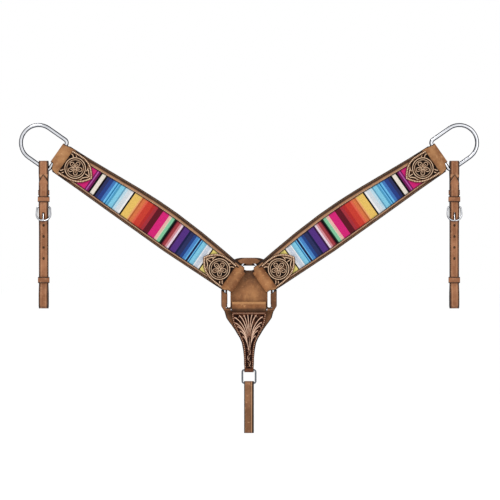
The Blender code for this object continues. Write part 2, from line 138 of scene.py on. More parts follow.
# Stripes of the serape from the dee end to the centre: colour name and width.
STRIPE_COLOURS = {
    "magenta": (226, 42, 126), "plum": (120, 28, 92), "lilac": (196, 96, 176), "black": (16, 12, 18),
    "cream": (248, 238, 224), "ink": (50, 55, 100), "royal": (48, 70, 140), "blue": (72, 128, 198),
    "light_blue": (118, 200, 248), "teal": (39, 121, 171), "cyan": (82, 162, 203), "sky": (138, 214, 242),
    "slate": (104, 168, 198), "pale_blue": (200, 232, 246), "mist": (224, 232, 238), "white": (252, 250, 250),
    "gold": (246, 204, 108), "apricot": (250, 182, 118), "rust": (193, 101, 56), "orange": (230, 124, 76),
    "coral": (236, 105, 80), "vermilion": (214, 68, 54), "red": (192, 50, 50), "crimson": (176, 54, 64),
    "maroon": (100, 28, 40), "rose": (246, 190, 180), "ivory": (222, 220, 192), "mint": (140, 210, 168),
    "forest": (40, 80, 60), "wine": (110, 30, 44), "brick": (172, 68, 75), "pink": (222, 150, 158),
    "blush": (246, 224, 238), "aubergine": (60, 28, 72), "purple": (90, 54, 136), "navy": (30, 34, 76),
    "cobalt": (44, 74, 142), "azure": (80, 142, 210), "storm": (132, 196, 222), "cloud": (214, 222, 234),
    "yellow": (250, 230, 132)}
STRIPES = [
    ("magenta", 44.7), ("plum", 2.5), ("lilac", 2.5), ("plum", 4), ("black", 4), ("cream", 8), ("black", 4),
    ("ink", 6), ("royal", 8), ("blue", 6), ("light_blue", 3.5), ("teal", 2.5), ("light_blue", 2),
    ("cyan", 4), ("sky", 8), ("slate", 3), ("pale_blue", 5), ("mist", 8), ("white", 4), ("black", 3.5),
    ("gold", 14.5), ("apricot", 3), ("rust", 3), ("orange", 6), ("coral", 4), ("vermilion", 12),
    ("red", 6), ("crimson", 6), ("maroon", 12), ("magenta", 15), ("rose", 5), ("ivory", 2), ("mint", 6),
    ("forest", 2), ("black", 4), ("wine", 2), ("brick", 6), ("pink", 4), ("blush", 4), ("aubergine", 4),
    ("purple", 12), ("navy", 4), ("ink", 8), ("cobalt", 6), ("azure", 6), ("light_blue", 2), ("navy", 4),
    ("light_blue", 2), ("teal", 2), ("sky", 6), ("storm", 4), ("white", 2), ("cloud", 8), ("white", 3.5),
    ("black", 2.5), ("yellow", 39)]


# ---- paths

def rounded(corners):
    """Turn corners (u, v, radius, extras...) into points, with a smooth arc at each rounded corner."""
    points = []
    for i, (u, v, radius, *extras) in enumerate(corners):
        if radius == 0:
            points.append((u, v, *extras))
            continue
        here = Vector((u, v))
        into = (here - Vector(corners[i - 1][:2])).normalized()
        out = (Vector(corners[(i + 1) % len(corners)][:2]) - here).normalized()
        turn = math.atan2(into.cross(out), into.dot(out))
        start = here - into * radius * math.tan(abs(turn) / 2)
        spoke = Vector((into.y, -into.x)) * math.copysign(radius, turn)
        centre = start - spoke
        count = max(3, math.ceil(abs(turn) / math.radians(9)))
        for k in range(count + 1):
            point = centre + Matrix.Rotation(turn * k / count, 2) @ spoke
            points.append((point.x, point.y, *extras))
    return points


def even_strap(line, half):
    """The rounded path of a strap of one width, from (u, y) points or (u, y, radius) folds."""
    return rounded([(u, y, *(radius or [0]), -half, half) for u, y, *radius in line])


def centred(rows):
    """Path rows of a strap that lies evenly about its middle, from (u, y, radius, half width)."""
    return [(u, y, radius, -half, half) for u, y, radius, half in rows]


def both_halves(left):
    """A closed outline from its left half, (x, z, radius) from one end of the middle line to the other."""
    return rounded(left + [(-x, z, radius) for x, z, radius in reversed(left)])


def resampled(points, step, closed):
    """Add points so that no segment is longer than the step; extras are interpolated too."""
    points = [np.array(p, float) for p in points]
    ends = points[1:] + points[:1] if closed else points[1:]
    out = []
    for p, q in zip(points, ends):
        count = max(1, math.ceil(np.linalg.norm((q - p)[:2]) / step))
        out += [p + (q - p) * k / count for k in range(count)]
    if not closed:
        out.append(points[-1])
    return [tuple(p) for p in out]


def along(table, at):
    """Read a list of (position, value) pairs at a position, with straight lines between them."""
    table = sorted((p[0], p[1]) for p in table)
    return float(np.interp(at, [p for p, v in table], [v for p, v in table]))


def edge_curve(table):
    """A wing edge as a finely sampled smooth line."""
    inner = [(a, b, WING_EDGE_ROUNDING) for a, b in table[1:-1]]
    return rounded([(*table[0], 0)] + inner + [(*table[-1], 0)])


TOP_CURVE = edge_curve(WING_TOP)
BOTTOM_CURVE = edge_curve(WING_BOTTOM)


def wing_top(a):
    return along(TOP_CURVE, a)


def wing_bottom(a):
    return along(BOTTOM_CURVE, a)


def window_top(a):
    return wing_top(a) - WINDOW_TOP_INSET


def window_bottom(a):
    return wing_bottom(a) + WINDOW_BOTTOM_INSET


def smooth_step(value, low, high):
    t = min(1, max(0, (value - low) / (high - low)))
    return t * t * (3 - 2 * t)


def bell(value, middle, width):
    """1 at the middle, falling smoothly to nothing a few widths away."""
    return math.exp(-((value - middle) / width) ** 2)


# ---- places

def on_wing(side):
    """Path along the wing, width across it."""
    def place(a, b, y):
        return np.stack([side * (a * COS - b * SIN), y, a * SIN + b * COS], -1) * MM
    return place


def hanging(x_mid):
    """Path along the height, width from side to side about x_mid."""
    def place(z, across, y):
        return np.stack([x_mid + across, y, z], -1) * MM
    return place


def upright(side):
    """Path from side to side, width along the height."""
    def place(x, z, y):
        return np.stack([side * x, y, z], -1) * MM
    return place


def wing_spot(side, a, b, y):
    x, z = side * (a * COS - b * SIN), a * SIN + b * COS
    return Vector((x, y, z)) * MM


# ---- mesh makers

def linked(name, data):
    obj = bpy.data.objects.new(name, data)
    bpy.context.scene.collection.objects.link(obj)
    return obj


def evaluated(obj):
    """The object's mesh as its curve or modifiers make it."""
    return bpy.data.meshes.new_from_object(obj.evaluated_get(bpy.context.evaluated_depsgraph_get()))


def make_object(name, vertices, faces, finish, smooth_angle=35):
    mesh = bpy.data.meshes.new(name)
    mesh.from_pydata([tuple(v) for v in vertices], [], faces)
    fix = bmesh.new()
    fix.from_mesh(mesh)
    bmesh.ops.recalc_face_normals(fix, faces=fix.faces)
    fix.to_mesh(mesh)
    fix.free()
    mesh.shade_smooth()
    mesh.set_sharp_from_angle(angle=math.radians(smooth_angle))
    mesh.materials.append(finish)
    return linked(name, mesh)


def set_values(obj, name, values):
    attribute = obj.data.attributes.new(name, "FLOAT", "POINT")
    attribute.data.foreach_set("value", np.asarray(values, np.float32).ravel())


def set_colours(obj, name, colours):
    attribute = obj.data.attributes.new(name, "FLOAT_COLOR", "POINT")
    rows = np.ones((len(colours), 4), np.float32)
    rows[:, :3] = colours
    attribute.data.foreach_set("color", rows.ravel())


def loft(name, rings, finish, closed=False):
    """A mesh through rings of points, capped at both ends or closed on itself."""
    count, size = len(rings), len(rings[0])
    faces = []
    for i in range(count if closed else count - 1):
        j = (i + 1) % count
        for k in range(size):
            m = (k + 1) % size
            faces.append((i * size + k, i * size + m, j * size + m, j * size + k))
    if not closed:
        faces.append(tuple(range(size)))
        faces.append(tuple(range((count - 1) * size, count * size)))
    return make_object(name, np.concatenate(rings), faces, finish)


def section_columns(low, high, edge_round, creases, inner):
    """Across positions of the front skin and their depth below it: rounded edges and pressed creases."""
    half = (high - low) / 2
    stops = [(0, 1), (0.134, 0.5), (0.5, 0.134), (1, 0)]
    columns = [(edge_round * d, edge_round * h) for d, h in stops]
    for place, width, depth in creases:
        columns += [(place - width / 2, 0), (place, depth), (place + width / 2, 0)]
    scale = min(1, 0.98 * half / max(columns[-1][0], 1e-6))
    side = [(d * scale, h) for d, h in columns]
    middle = np.linspace(low + side[-1][0], high - side[-1][0], inner + 2)[1:-1]
    across = [low + d for d, h in side] + list(middle) + [high - d for d, h in side[::-1]]
    depth = [h for d, h in side] + [0] * inner + [h for d, h in side[::-1]]
    return np.array(across), np.array(depth)


def strap(name, path, place, thickness, finish, grain=1, step=4, edge_round=0.6, creases=(), inner=6,
          relief=None, painted_light=None, closed=False, widths=None):
    """A closed leather strip along a path of (u, y, low, high), with its grain on the path's left (1) or
    right (-1). creases are (place from the edge, width, depth), and inner is how many columns the grain
    side has between them. widths(u, y) gives the edges where the path doesn't, relief(u, y, across) lifts
    the grain side and says how worn it is, and painted_light(u, y, across) paints shade (-1) to highlight
    (1)."""
    path = resampled(path, step, closed)
    spans = [widths(u, y) if widths else rest for u, y, *rest in path]
    line = np.array([p[:2] for p in path], float)
    ahead = np.roll(line, -1, 0) - line
    behind = line - np.roll(line, 1, 0)
    if not closed:
        ahead[-1], behind[0] = behind[-1], ahead[0]
    ahead /= np.linalg.norm(ahead, axis=1)[:, None]
    behind /= np.linalg.norm(behind, axis=1)[:, None]
    tangent = ahead + behind
    tangent /= np.linalg.norm(tangent, axis=1)[:, None]
    normal = np.stack([-tangent[:, 1], tangent[:, 0]], -1) * grain
    normal /= np.maximum(0.6, (tangent * ahead).sum(1))[:, None]

    rings, edge, worn, shade, front = [], [], [], [], []
    for (u, y), n, (low, high) in zip(line, normal, spans):
        across, depth = section_columns(low, high, edge_round, creases, inner)
        back_across, back_depth = section_columns(low, high, edge_round, (), 2)
        height = thickness / 2 - depth
        light = np.zeros(len(across))
        if relief:
            rise, light = relief(u, y, across)
            height = height + rise
        heights = np.concatenate([height, -(thickness / 2 - back_depth)[::-1]])
        everywhere = np.concatenate([across, back_across[::-1]])
        rings.append(place(u + n[0] * heights, everywhere, y + n[1] * heights))
        edge.append(np.minimum(everywhere - low, high - everywhere))
        worn.append(np.concatenate([light, np.zeros(len(back_across))]))
        front.append(np.concatenate([np.ones(len(across)), np.zeros(len(back_across))]))
        # Painted light, from painted shade (-1) to painted highlight (1), for the material to paint into the
        # colour.
        shade.append([painted_light(u, y, w) if painted_light else 0.0 for w in everywhere])
    obj = loft(name, rings, finish, closed)
    for label, values in (("edge", edge), ("worn", worn), ("painted_light", shade), ("grain", front)):
        set_values(obj, label, np.concatenate(values))
    return obj


def curve_mesh(name, points, closed, recalculate, **settings):
    """The mesh of a curve with these settings through 3D points in metres, its doubled points welded."""
    curve = bpy.data.curves.new(name, "CURVE")
    for key, value in settings.items():
        setattr(curve, key, value)
    spline = curve.splines.new("POLY")
    spline.points.add(len(points) - 1)
    for point, spot in zip(spline.points, points):
        point.co = (*spot, 1)
    spline.use_cyclic_u = closed
    source = linked(name + "_line", curve)
    mesh = evaluated(source)
    bpy.data.objects.remove(source)
    weld = bmesh.new()
    weld.from_mesh(mesh)
    bmesh.ops.remove_doubles(weld, verts=weld.verts, dist=WELD)
    if recalculate:
        bmesh.ops.recalc_face_normals(weld, faces=weld.faces)
    weld.to_mesh(mesh)
    weld.free()
    return mesh


def wire(name, points, radius, closed=True, finish=None):
    """A round wire along 3D points in millimetres, as a mesh."""
    mesh = curve_mesh(name, [Vector(spot) * MM for spot in points], closed, recalculate=True,
                      dimensions="3D", bevel_depth=radius * MM, bevel_resolution=6, use_fill_caps=not closed)
    mesh.shade_smooth()
    mesh.set_sharp_from_angle(angle=math.radians(50))
    mesh.materials.clear()
    mesh.materials.append(finish or NICKEL)
    obj = linked(name, mesh)
    # How far each point faces sideways: the mask for the nickel's painted dark reflection.
    set_values(obj, "flank", [1 - abs(vertex.normal.y) for vertex in mesh.vertices])
    return obj


def stitches(name, rows, finish, length, gap, radius):
    """Short round threads laid along rows of points (in metres) on leather that faces forward."""
    shape = [(-0.5, 0.25), (-0.38, 0.85), (0, 1), (0.38, 0.85), (0.5, 0.25)]
    sides, look_ahead, sunk = 6, 5e-4, 0.35
    outward = np.array([0.0, -1.0, 0.0])
    vertices, faces = [], []
    for points in rows:
        points = np.array(points, float)
        steps = np.linalg.norm(np.diff(points, axis=0), axis=1)
        run = np.concatenate([[0], np.cumsum(steps)])
        count = max(1, int(run[-1] / ((length + gap) * MM)))

        def spot_at(distance):
            return np.array([np.interp(distance, run, points[:, c]) for c in range(3)])
        for k in range(count):
            at = (k + 0.5) * run[-1] / count
            middle = spot_at(at)
            ahead = spot_at(at + look_ahead) - middle
            if np.linalg.norm(ahead) < 1e-9:
                ahead = middle - spot_at(at - look_ahead)
            ahead /= np.linalg.norm(ahead)
            beside = np.cross(ahead, outward)
            first = len(vertices)
            for t, swell in shape:
                for s in range(sides):
                    turn = 2 * math.pi * s / sides
                    r = radius * swell * MM
                    spot = middle + ahead * t * length * MM + beside * r * math.cos(turn)
                    vertices.append(spot + outward * r * (sunk + math.sin(turn)))
            for i in range(len(shape) - 1):
                for s in range(sides):
                    p, q = first + i * sides + s, first + i * sides + (s + 1) % sides
                    faces.append((p, q, q + sides, p + sides))
            faces.append(tuple(range(first, first + sides)))
            faces.append(tuple(range(len(vertices) - sides, len(vertices))))
    return make_object(name, vertices, faces, finish, 60)


def joined(name, parts):
    bpy.ops.object.select_all(action="DESELECT")
    for part in parts:
        part.select_set(True)
    bpy.context.view_layer.objects.active = parts[0]
    bpy.ops.object.join()
    parts[0].name = name
    parts[0].data.name = name
    return parts[0]


def cut(piece, tools, outline=None):
    """Keep what lies inside the outline solid, if there is one, and cut the tools out of the piece."""
    solids = ([outline] if outline else []) + tools
    for solid in solids:
        step = piece.modifiers.new("cut", "BOOLEAN")
        step.operation = "INTERSECT" if solid is outline else "DIFFERENCE"
        step.object = solid
    bpy.context.view_layer.update()
    mesh = evaluated(piece)
    piece.modifiers.clear()
    piece.data = mesh
    for solid in solids:
        bpy.data.objects.remove(solid)
    return mesh


def finish_piece(obj, body, slot, *nodes):
    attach(obj, body)
    if nodes:
        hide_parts(*nodes)


# ---- materials

def lit(colour):
    """An sRGB colour as it should look in the studio's light, as the linear base colour that gives it."""
    out = []
    for c in colour:
        c = c / 255
        c = c / 12.92 if c <= 0.04045 else ((c + 0.055) / 1.055) ** 2.4
        out.append(c / FRONT_LIGHT)
    return out


class Nodes:
    """A material's node tree, built by short calls. Scales are per metre."""

    def __init__(self, name):
        self.material = bpy.data.materials.new(name)
        self.material.use_nodes = True
        self.tree = self.material.node_tree
        self.shader = self.tree.nodes["Principled BSDF"]
        self.spot = self.add("ShaderNodeTexCoord").outputs["Object"]

    def add(self, kind, **settings):
        node = self.tree.nodes.new(kind)
        for key, value in settings.items():
            setattr(node, key, value)
        return node

    def plug(self, source, socket):
        if isinstance(source, (int, float)):
            socket.default_value = source
        elif isinstance(source, (list, tuple)):
            socket.default_value = (*source, 1) if len(source) == 3 else source
        else:
            self.tree.links.new(source, socket)

    def value(self, name):
        return self.add("ShaderNodeAttribute", attribute_name=name).outputs["Fac"]

    def noise(self, scale, detail=4, roughness=0.6, stretch=None):
        spot = self.spot
        if stretch:
            mapping = self.add("ShaderNodeMapping")
            mapping.inputs["Scale"].default_value = stretch
            self.plug(spot, mapping.inputs["Vector"])
            spot = mapping.outputs["Vector"]
        node = self.add("ShaderNodeTexNoise")
        for socket, number in (("Scale", scale), ("Detail", detail), ("Roughness", roughness)):
            node.inputs[socket].default_value = number
        self.plug(spot, node.inputs["Vector"])
        return node.outputs["Fac"]

    def cells(self, scale):
        node = self.add("ShaderNodeTexVoronoi")
        node.inputs["Scale"].default_value = scale
        self.plug(self.spot, node.inputs["Vector"])
        return node.outputs["Distance"]

    def ranged(self, source, low, high, to_low=0.0, to_high=1.0):
        node = self.add("ShaderNodeMapRange", interpolation_type="SMOOTHSTEP")
        self.plug(source, node.inputs["Value"])
        for socket, number in zip(("From Min", "From Max", "To Min", "To Max"), (low, high, to_low, to_high)):
            node.inputs[socket].default_value = number
        return node.outputs["Result"]

    def maths(self, operation, first, second=None):
        node = self.add("ShaderNodeMath", operation=operation)
        self.plug(first, node.inputs[0])
        if second is not None:
            self.plug(second, node.inputs[1])
        return node.outputs[0]

    def mix(self, factor, first, second):
        node = self.add("ShaderNodeMix", data_type="RGBA")
        self.plug(factor, node.inputs["Factor"])
        self.plug(first, node.inputs["A"])
        self.plug(second, node.inputs["B"])
        return node.outputs["Result"]

    def bump(self, *heights):
        """Bumps of (height, strength, distance in metres), one on another."""
        normal = None
        for height, strength, distance in heights:
            node = self.add("ShaderNodeBump")
            node.inputs["Strength"].default_value = strength
            node.inputs["Distance"].default_value = distance
            self.plug(height, node.inputs["Height"])
            if normal:
                self.plug(normal, node.inputs["Normal"])
            normal = node.outputs["Normal"]
        self.plug(normal, self.shader.inputs["Normal"])

    def finish(self, colour, roughness, metallic=0.0, specular=0.2):
        self.plug(colour, self.shader.inputs["Base Color"])
        self.plug(roughness, self.shader.inputs["Roughness"])
        self.shader.inputs["Metallic"].default_value = metallic
        self.shader.inputs["Specular IOR Level"].default_value = specular
        return self.material


def hide(n, dark, body, light, streaks):
    """The cloudy colour of oiled leather, with streaks of the light colour over it."""
    colour = n.mix(n.ranged(n.noise(38, 5), 0.36, 0.66), lit(dark), lit(body))
    return n.mix(n.ranged(n.noise(180, 6, 0.7), *streaks), colour, lit(light))


def pores(n, nap):
    """The bumps of leather: slow waves, pores and a fine nap."""
    n.bump((n.noise(60, 4), 0.25, 0.0012), (n.cells(1500), nap, 0.0003), (n.noise(2200, 3), nap, 0.0002))


def leather(name, body, dark, light, burnish_and_shade, edge_width, rough=0.7, back=None, nap=0.25):
    """Oiled leather: cloudy colour, fine pores and nap, dark edges of burnish widened with painted shade,
    scuffs a little lighter, and the painted shade and painted highlight that a strap asks for.
    """
    n = Nodes(name)
    colour = hide(n, dark, body, light, (0.52, 0.74, 0, 0.75))
    colour = n.mix(n.ranged(n.noise(95, 3, 0.5), 0.60, 0.72, 0, 0.5), colour, lit(dark))
    if back:
        colour = n.mix(n.ranged(n.value("grain"), 0.4, 0.6), lit(back), colour)
    # Painted light: painted highlight mixes towards the light colour, painted shade towards the dark edge
    # colour.
    painted_light = n.value("painted_light")
    colour = n.mix(n.ranged(painted_light, 0, 1, 0, 0.85), colour, lit(light))
    colour = n.mix(n.ranged(n.maths("MULTIPLY", painted_light, -1), 0, 1, 0, 0.9), colour, lit(burnish_and_shade))
    # Dark edges: the leather's burnish, widened with painted shade along the outline.
    ragged = n.maths("ADD", n.value("edge"), n.ranged(n.noise(420, 3), 0.3, 0.7, -0.35, 0.35))
    colour = n.mix(n.ranged(ragged, edge_width * 0.55, edge_width), lit(burnish_and_shade), colour)
    pores(n, nap)
    return n.finish(colour, n.ranged(n.noise(150, 3), 0.3, 0.7, rough - 0.12, rough + 0.08))


def tooled(name, ridge, bright, floor, burnish_and_shade, edge_width):
    """Carved leather with antique dye: dark in the cuts, light and polished on the ridges."""
    n = Nodes(name)
    worn = n.maths("ADD", n.value("worn"), n.ranged(n.noise(900, 3), 0.3, 0.7, -0.12, 0.12))
    colour = n.mix(n.ranged(worn, 0.2, 0.58), lit(floor), lit(ridge))
    colour = n.mix(n.ranged(worn, 0.6, 0.97), colour, lit(bright))
    colour = n.mix(n.ranged(n.noise(120, 4), 0.5, 0.7, 0, 0.35), colour, lit(ridge))
    colour = n.mix(n.ranged(n.value("edge"), edge_width * 0.5, edge_width), lit(burnish_and_shade), colour)
    n.bump((n.cells(1300), 0.3, 0.0003), (n.noise(1800, 3), 0.2, 0.0002))
    return n.finish(colour, n.ranged(worn, 0.1, 0.8, 0.75, 0.45), specular=0.06)


def serape_cloth():
    """Tightly woven striped cloth: the weft runs along the stripes, over ribs of warp, with painted shade in
    the weave's hollows and along the edges that run under the border.
    """
    rib_pitch, yarn_pitch = 1.3, 0.55
    black = [0, 0, 0]
    n = Nodes("serape_cloth")
    dye = n.add("ShaderNodeAttribute", attribute_name="stripe").outputs["Color"]
    ribs = n.maths("SINE", n.maths("MULTIPLY", n.value("across"), 2 * math.pi / rib_pitch))
    yarns = n.maths("SINE", n.maths("MULTIPLY", n.value("out"), 2 * math.pi / yarn_pitch))
    weave = n.maths("ADD", n.maths("MULTIPLY", ribs, 0.7), n.maths("MULTIPLY", yarns, 0.3))
    shade = n.mix(n.ranged(n.noise(700, 3, 0.6), 0.3, 0.7, 0.0, 0.16), dye, black)
    # Painted shade in the hollows of the weave.
    shade = n.mix(n.ranged(weave, -1, 1, 0.10, 0.0), shade, black)
    # Painted shade where the cloth runs under the border's edge.
    shade = n.mix(n.ranged(n.value("edge"), 0.2, 2.6, 0.42, 0.0), shade, [0.02, 0.01, 0.01])
    n.bump((weave, 0.5, 0.0004), (n.noise(2500, 2), 0.25, 0.0002))
    return n.finish(shade, 0.92, specular=0.08)


def safe_leather():
    """The safe's leather, with painted shade darkening it up into the V, a painted highlight low down near
    the middle, and painted shade along its outer edges.
    """
    n = Nodes("safe_leather")
    axes = n.add("ShaderNodeSeparateXYZ")
    n.plug(n.spot, axes.inputs[0])
    colour = hide(n, (122, 78, 46), (152, 102, 64), (186, 136, 92), (0.5, 0.72, 0, 0.6))
    # Painted shade: darker the higher it goes up the V.
    shade_height = n.maths("ADD", axes.outputs["Z"], n.ranged(n.noise(55, 3), 0.3, 0.7, -0.006, 0.006))
    colour = n.mix(n.ranged(shade_height, 0.002, 0.032, 0, 0.85), colour, lit((58, 36, 24)))
    # Painted highlight: a lighter patch near the middle, stronger lower down.
    highlight_x = n.maths("ADD", axes.outputs["X"], n.ranged(n.noise(40, 3), 0.3, 0.7, -0.006, 0.006))
    near = n.maths("MULTIPLY", n.ranged(highlight_x, -0.012, 0.008), n.ranged(highlight_x, 0.026, 0.010))
    low = n.ranged(shade_height, 0.010, -0.016, 0, 0.5)
    colour = n.mix(n.maths("MULTIPLY", near, low), colour, lit((206, 148, 96)))
    # Painted shade along the outer edges of the side strips.
    from_middle = n.maths("ABSOLUTE", axes.outputs["X"])
    colour = n.mix(n.ranged(from_middle, 0.0505, 0.0525, 0, 0.9), colour, lit((34, 17, 9)))
    pores(n, 0.25)
    return n.finish(colour, n.ranged(n.noise(150, 3), 0.3, 0.7, 0.6, 0.78))


def nickel(name, bright, dull):
    """Polished nickel plate, with a painted dark reflection on the flanks that face along the leather, and
    faint scratches.
    """
    n = Nodes(name)
    scratches = n.noise(260, 6, 0.75, (1, 1, 8))
    colour = n.mix(n.ranged(n.noise(90, 3), 0.4, 0.7), bright, dull)
    # Painted reflection: the flanks darken as if they mirrored dark surroundings.
    colour = n.mix(n.ranged(n.value("flank"), 0.04, 0.22), colour, (0.055, 0.06, 0.075))
    n.shader.inputs["Specular Tint"].default_value = (0.02, 0.02, 0.03, 1)
    n.bump((scratches, 0.05, 0.0002))
    return n.finish(colour, n.ranged(scratches, 0.35, 0.7, 0.10, 0.22), metallic=1.0, specular=0.5)


def thread(name, colour):
    """Waxed twisted thread."""
    n = Nodes(name)
    shade = n.mix(n.ranged(n.noise(1600, 3), 0.3, 0.7, 0, 0.35), lit(colour), lit([c * 0.6 for c in colour]))
    n.bump((n.noise(3500, 2), 0.4, 0.0002))
    return n.finish(shade, 0.55)


BAND = leather("wing_band_tan", (174, 124, 80), (140, 92, 56), (206, 158, 112), (40, 20, 9), 1.9)
STRAP = leather("oiled_strap", (166, 112, 78), (138, 88, 57), (206, 154, 115), (30, 15, 7), 1.9, 0.55,
                back=(120, 82, 54), nap=0.12)
BORDER = leather("border_strip", (132, 88, 56), (100, 64, 38), (196, 150, 112), (24, 12, 7), 1.3, 0.6)
CENTRE = leather("centre_tan", (162, 108, 66), (118, 72, 40), (204, 150, 100), (34, 17, 8), 1.6)
CORE = leather("wing_core", (120, 80, 52), (88, 56, 34), (150, 108, 74), (40, 24, 14), 0.8, 0.8)
DROP_BACK = leather("drop_back", (134, 88, 56), (100, 64, 38), (164, 116, 80), (26, 13, 7), 2.2, 0.6)
WRAP_LEATHER = leather("wrap_leather", (136, 90, 58), (100, 62, 36), (172, 124, 84), (30, 15, 8), 1.9)
GIRTH = leather("girth_leather", (146, 100, 68), (118, 78, 50), (200, 154, 116), (20, 10, 6), 2.0, 0.6,
                back=(60, 38, 26), nap=0.15)
SAFE_LEATHER = safe_leather()
ROSE = tooled("tooled_rose", (134, 92, 64), (244, 216, 184), (16, 8, 6), (30, 15, 9), 1.1)
ACANTHUS = tooled("tooled_acanthus", (128, 78, 54), (246, 212, 186), (26, 7, 4), (34, 14, 8), 0.9)
SERAPE_CLOTH = serape_cloth()
NICKEL = nickel("nickel", (0.72, 0.73, 0.76), (0.58, 0.59, 0.62))
# A darker nickel, for the small ring.
DARK_NICKEL = nickel("dark_nickel", (0.20, 0.22, 0.24), (0.12, 0.13, 0.15))
LIGHT_THREAD = thread("light_thread", (224, 188, 160))
TAN_THREAD = thread("tan_thread", (196, 150, 112))


# ---- carving

def distance_to_line(u, w, line):
    """Distance from each point to a polyline, and how far along the line the nearest place is."""
    spot = np.stack([u, w], -1)[:, None, :]
    start, end = np.array(line[:-1], float), np.array(line[1:], float)
    run = end - start
    length = np.linalg.norm(run, axis=1)
    share = np.clip(((spot - start) * run).sum(-1) / (length ** 2), 0, 1)
    gap = np.linalg.norm(spot - (start + run * share[..., None]), axis=-1)
    best = gap.argmin(1)
    rows = np.arange(len(u))
    before = np.concatenate([[0], np.cumsum(length)])[:-1]
    return gap[rows, best], before[best] + share[rows, best] * length[best]


def ridge(distance, width):
    return np.exp(-(distance / width) ** 2)


def bend(start, control, end, count=12):
    """A curved stroke through a control point (a quadratic curve)."""
    t = np.linspace(0, 1, count)[:, None]
    start, control, end = (np.array(p, float) for p in (start, control, end))
    return (1 - t) ** 2 * start + 2 * t * (1 - t) * control + t ** 2 * end


def from_rose(reach, angle):
    return ROSE_CENTRE[0] + reach * math.cos(angle), ROSE_CENTRE[1] + reach * math.sin(angle)


def petal(turn, inner, outer, spread):
    """The outline of one petal of the rose, from the heart out and back."""
    points = []
    for k in range(13):
        t = k / 12
        angle = turn + (t - 0.5) * 2 * spread * math.sin(math.pi * min(1, max(t, 1 - t)) * 0.5 + 0.6)
        points.append(from_rose(inner + (outer - inner) * math.sin(math.pi * t) ** 0.6, angle))
    return points


def rose_strokes():
    """The cuts of a patch, each with its width: five petals with a vein, and the leaves in the corners."""
    strokes = []
    for k in range(5):
        turn = math.radians(90 + 72 * k)
        strokes.append((petal(turn, 4.0, 14.0, math.radians(33)), 0.85))
        strokes.append(([from_rose(5, turn), from_rose(9.5, turn)], 0.8))
    leaves = [((1.5, 20), (9, 19.5), (13, 15.5), 1.2), ((1.5, 14.5), (5, 15), (8, 11.5), 1.1),
              ((1.5, -31.5), (6, -30), (9, -24.5), 1.2), ((1.5, -25), (4, -24), (5.5, -20), 1.1),
              ((42, 14.5), (46.5, 10), (45.5, 4), 1.2), ((58, -3), (52, 2), (47.5, 7.5), 1.2),
              ((58, -4), (51, -6), (46.5, -13), 1.2), ((37, -24.5), (44, -20), (46.5, -14.5), 1.2),
              ((57, -3), (52, -2), (47, -2.5), 1.1), ((16, -29), (24, -30.5), (31, -27.5), 1.2),
              ((17, 20), (24, 20.5), (30, 18.5), 1.2)]
    return strokes + [(bend(*points), width) for *points, width in leaves]


def rose_relief(s, across):
    """Height and wear of a patch: a rose in a double ring, corner leaves, and a beaded rim."""
    bead_pitch, band_width, bead_line, groove_line = 3.4, 4.6, 2.4, 5.3
    rim, run = distance_to_line(s, across, PATCH_RIM)
    height = np.zeros(len(s))
    worn = np.zeros(len(s))
    radius = np.hypot(s - ROSE_CENTRE[0], across - ROSE_CENTRE[1])
    for stroke, width in ROSE_STROKES:
        near, _ = distance_to_line(s, across, stroke)
        mark = ridge(near, width)
        height = np.maximum(height, 0.7 * mark)
        worn = np.maximum(worn, 0.95 * mark)
    for reach, width in ((ROSE_RADIUS, 1.0), (ROSE_RADIUS - 3.9, 0.7), (2.6, 0.9)):
        mark = ridge(radius - reach, width)
        height = np.maximum(height, 0.8 * mark)
        worn = np.maximum(worn, mark)
    bead = 0.55 + 0.45 * np.cos(2 * math.pi * run / bead_pitch)
    band = 1 / (1 + np.exp((rim - band_width) * 3))
    height = np.maximum(height, band * (0.35 + 0.3 * bead * ridge(rim - bead_line, 1.1)))
    worn = np.maximum(worn * (1 - band), band * (0.42 + 0.75 * bead * ridge(rim - bead_line, 1.4)))
    groove = ridge(rim - groove_line, 0.5)
    return height - 0.3 * groove, worn * (1 - 0.8 * groove)


def acanthus_strokes():
    """Leaf veins that rise from the drop's throat and hook outward, and scrolls down its tail."""
    strokes = []
    fan = [(-28.5, -60.5, -103, 1.15), (-19, -56.5, -101, 1.1), (-10.5, -55.5, -99, 1.0),
           (-2.5, -55, -98, 1.0), (6, -55, -98, 1.0), (14.5, -55.5, -99, 1.1), (27, -59, -102, 1.15),
           (-27.5, -71.5, -109, 1.1), (25, -70.5, -108, 1.1), (-23, -78.5, -113, 1.0),
           (22, -77.5, -112, 1.0), (-17.5, -88, -119, 1.0), (17.5, -87, -118, 1.0),
           (-12.5, -98.5, -126, 0.9), (12.5, -97.5, -125, 0.9)]
    for tip_x, tip_z, root_z, width in fan:
        root, belly = (0.4 + tip_x * 0.14, root_z), (tip_x * 0.3, (tip_z + root_z) / 2 + 9)
        strokes.append((bend(root, belly, (tip_x, tip_z)), width))
        if abs(tip_x) > 9:
            hook = math.copysign(4.5, tip_x)
            turned, curl = (tip_x - hook, tip_z - 1.5), (tip_x + hook * 0.4, tip_z - 5)
            strokes.append((bend(turned, (tip_x, tip_z + 1.5), curl), 0.9))
    for z, way in ((-128, -1), (-139, 1), (-150, -1)):
        strokes.append((bend((way * 5, z + 5), (way * -6, z + 4), (way * -1, z - 7)), 0.95))
        strokes.append((bend((way * 5.5, z), (way * -2, z), (way * 1.5, z - 5)), 0.75))
    strokes.append((bend((0.4, -100), (1.5, -112), (-1, -126)), 1.0))
    strokes.append((bend((-4, -160), (0, -156), (4, -160)), 0.8))
    return strokes


ROSE_STROKES = rose_strokes()
ACANTHUS_STROKES = acanthus_strokes()


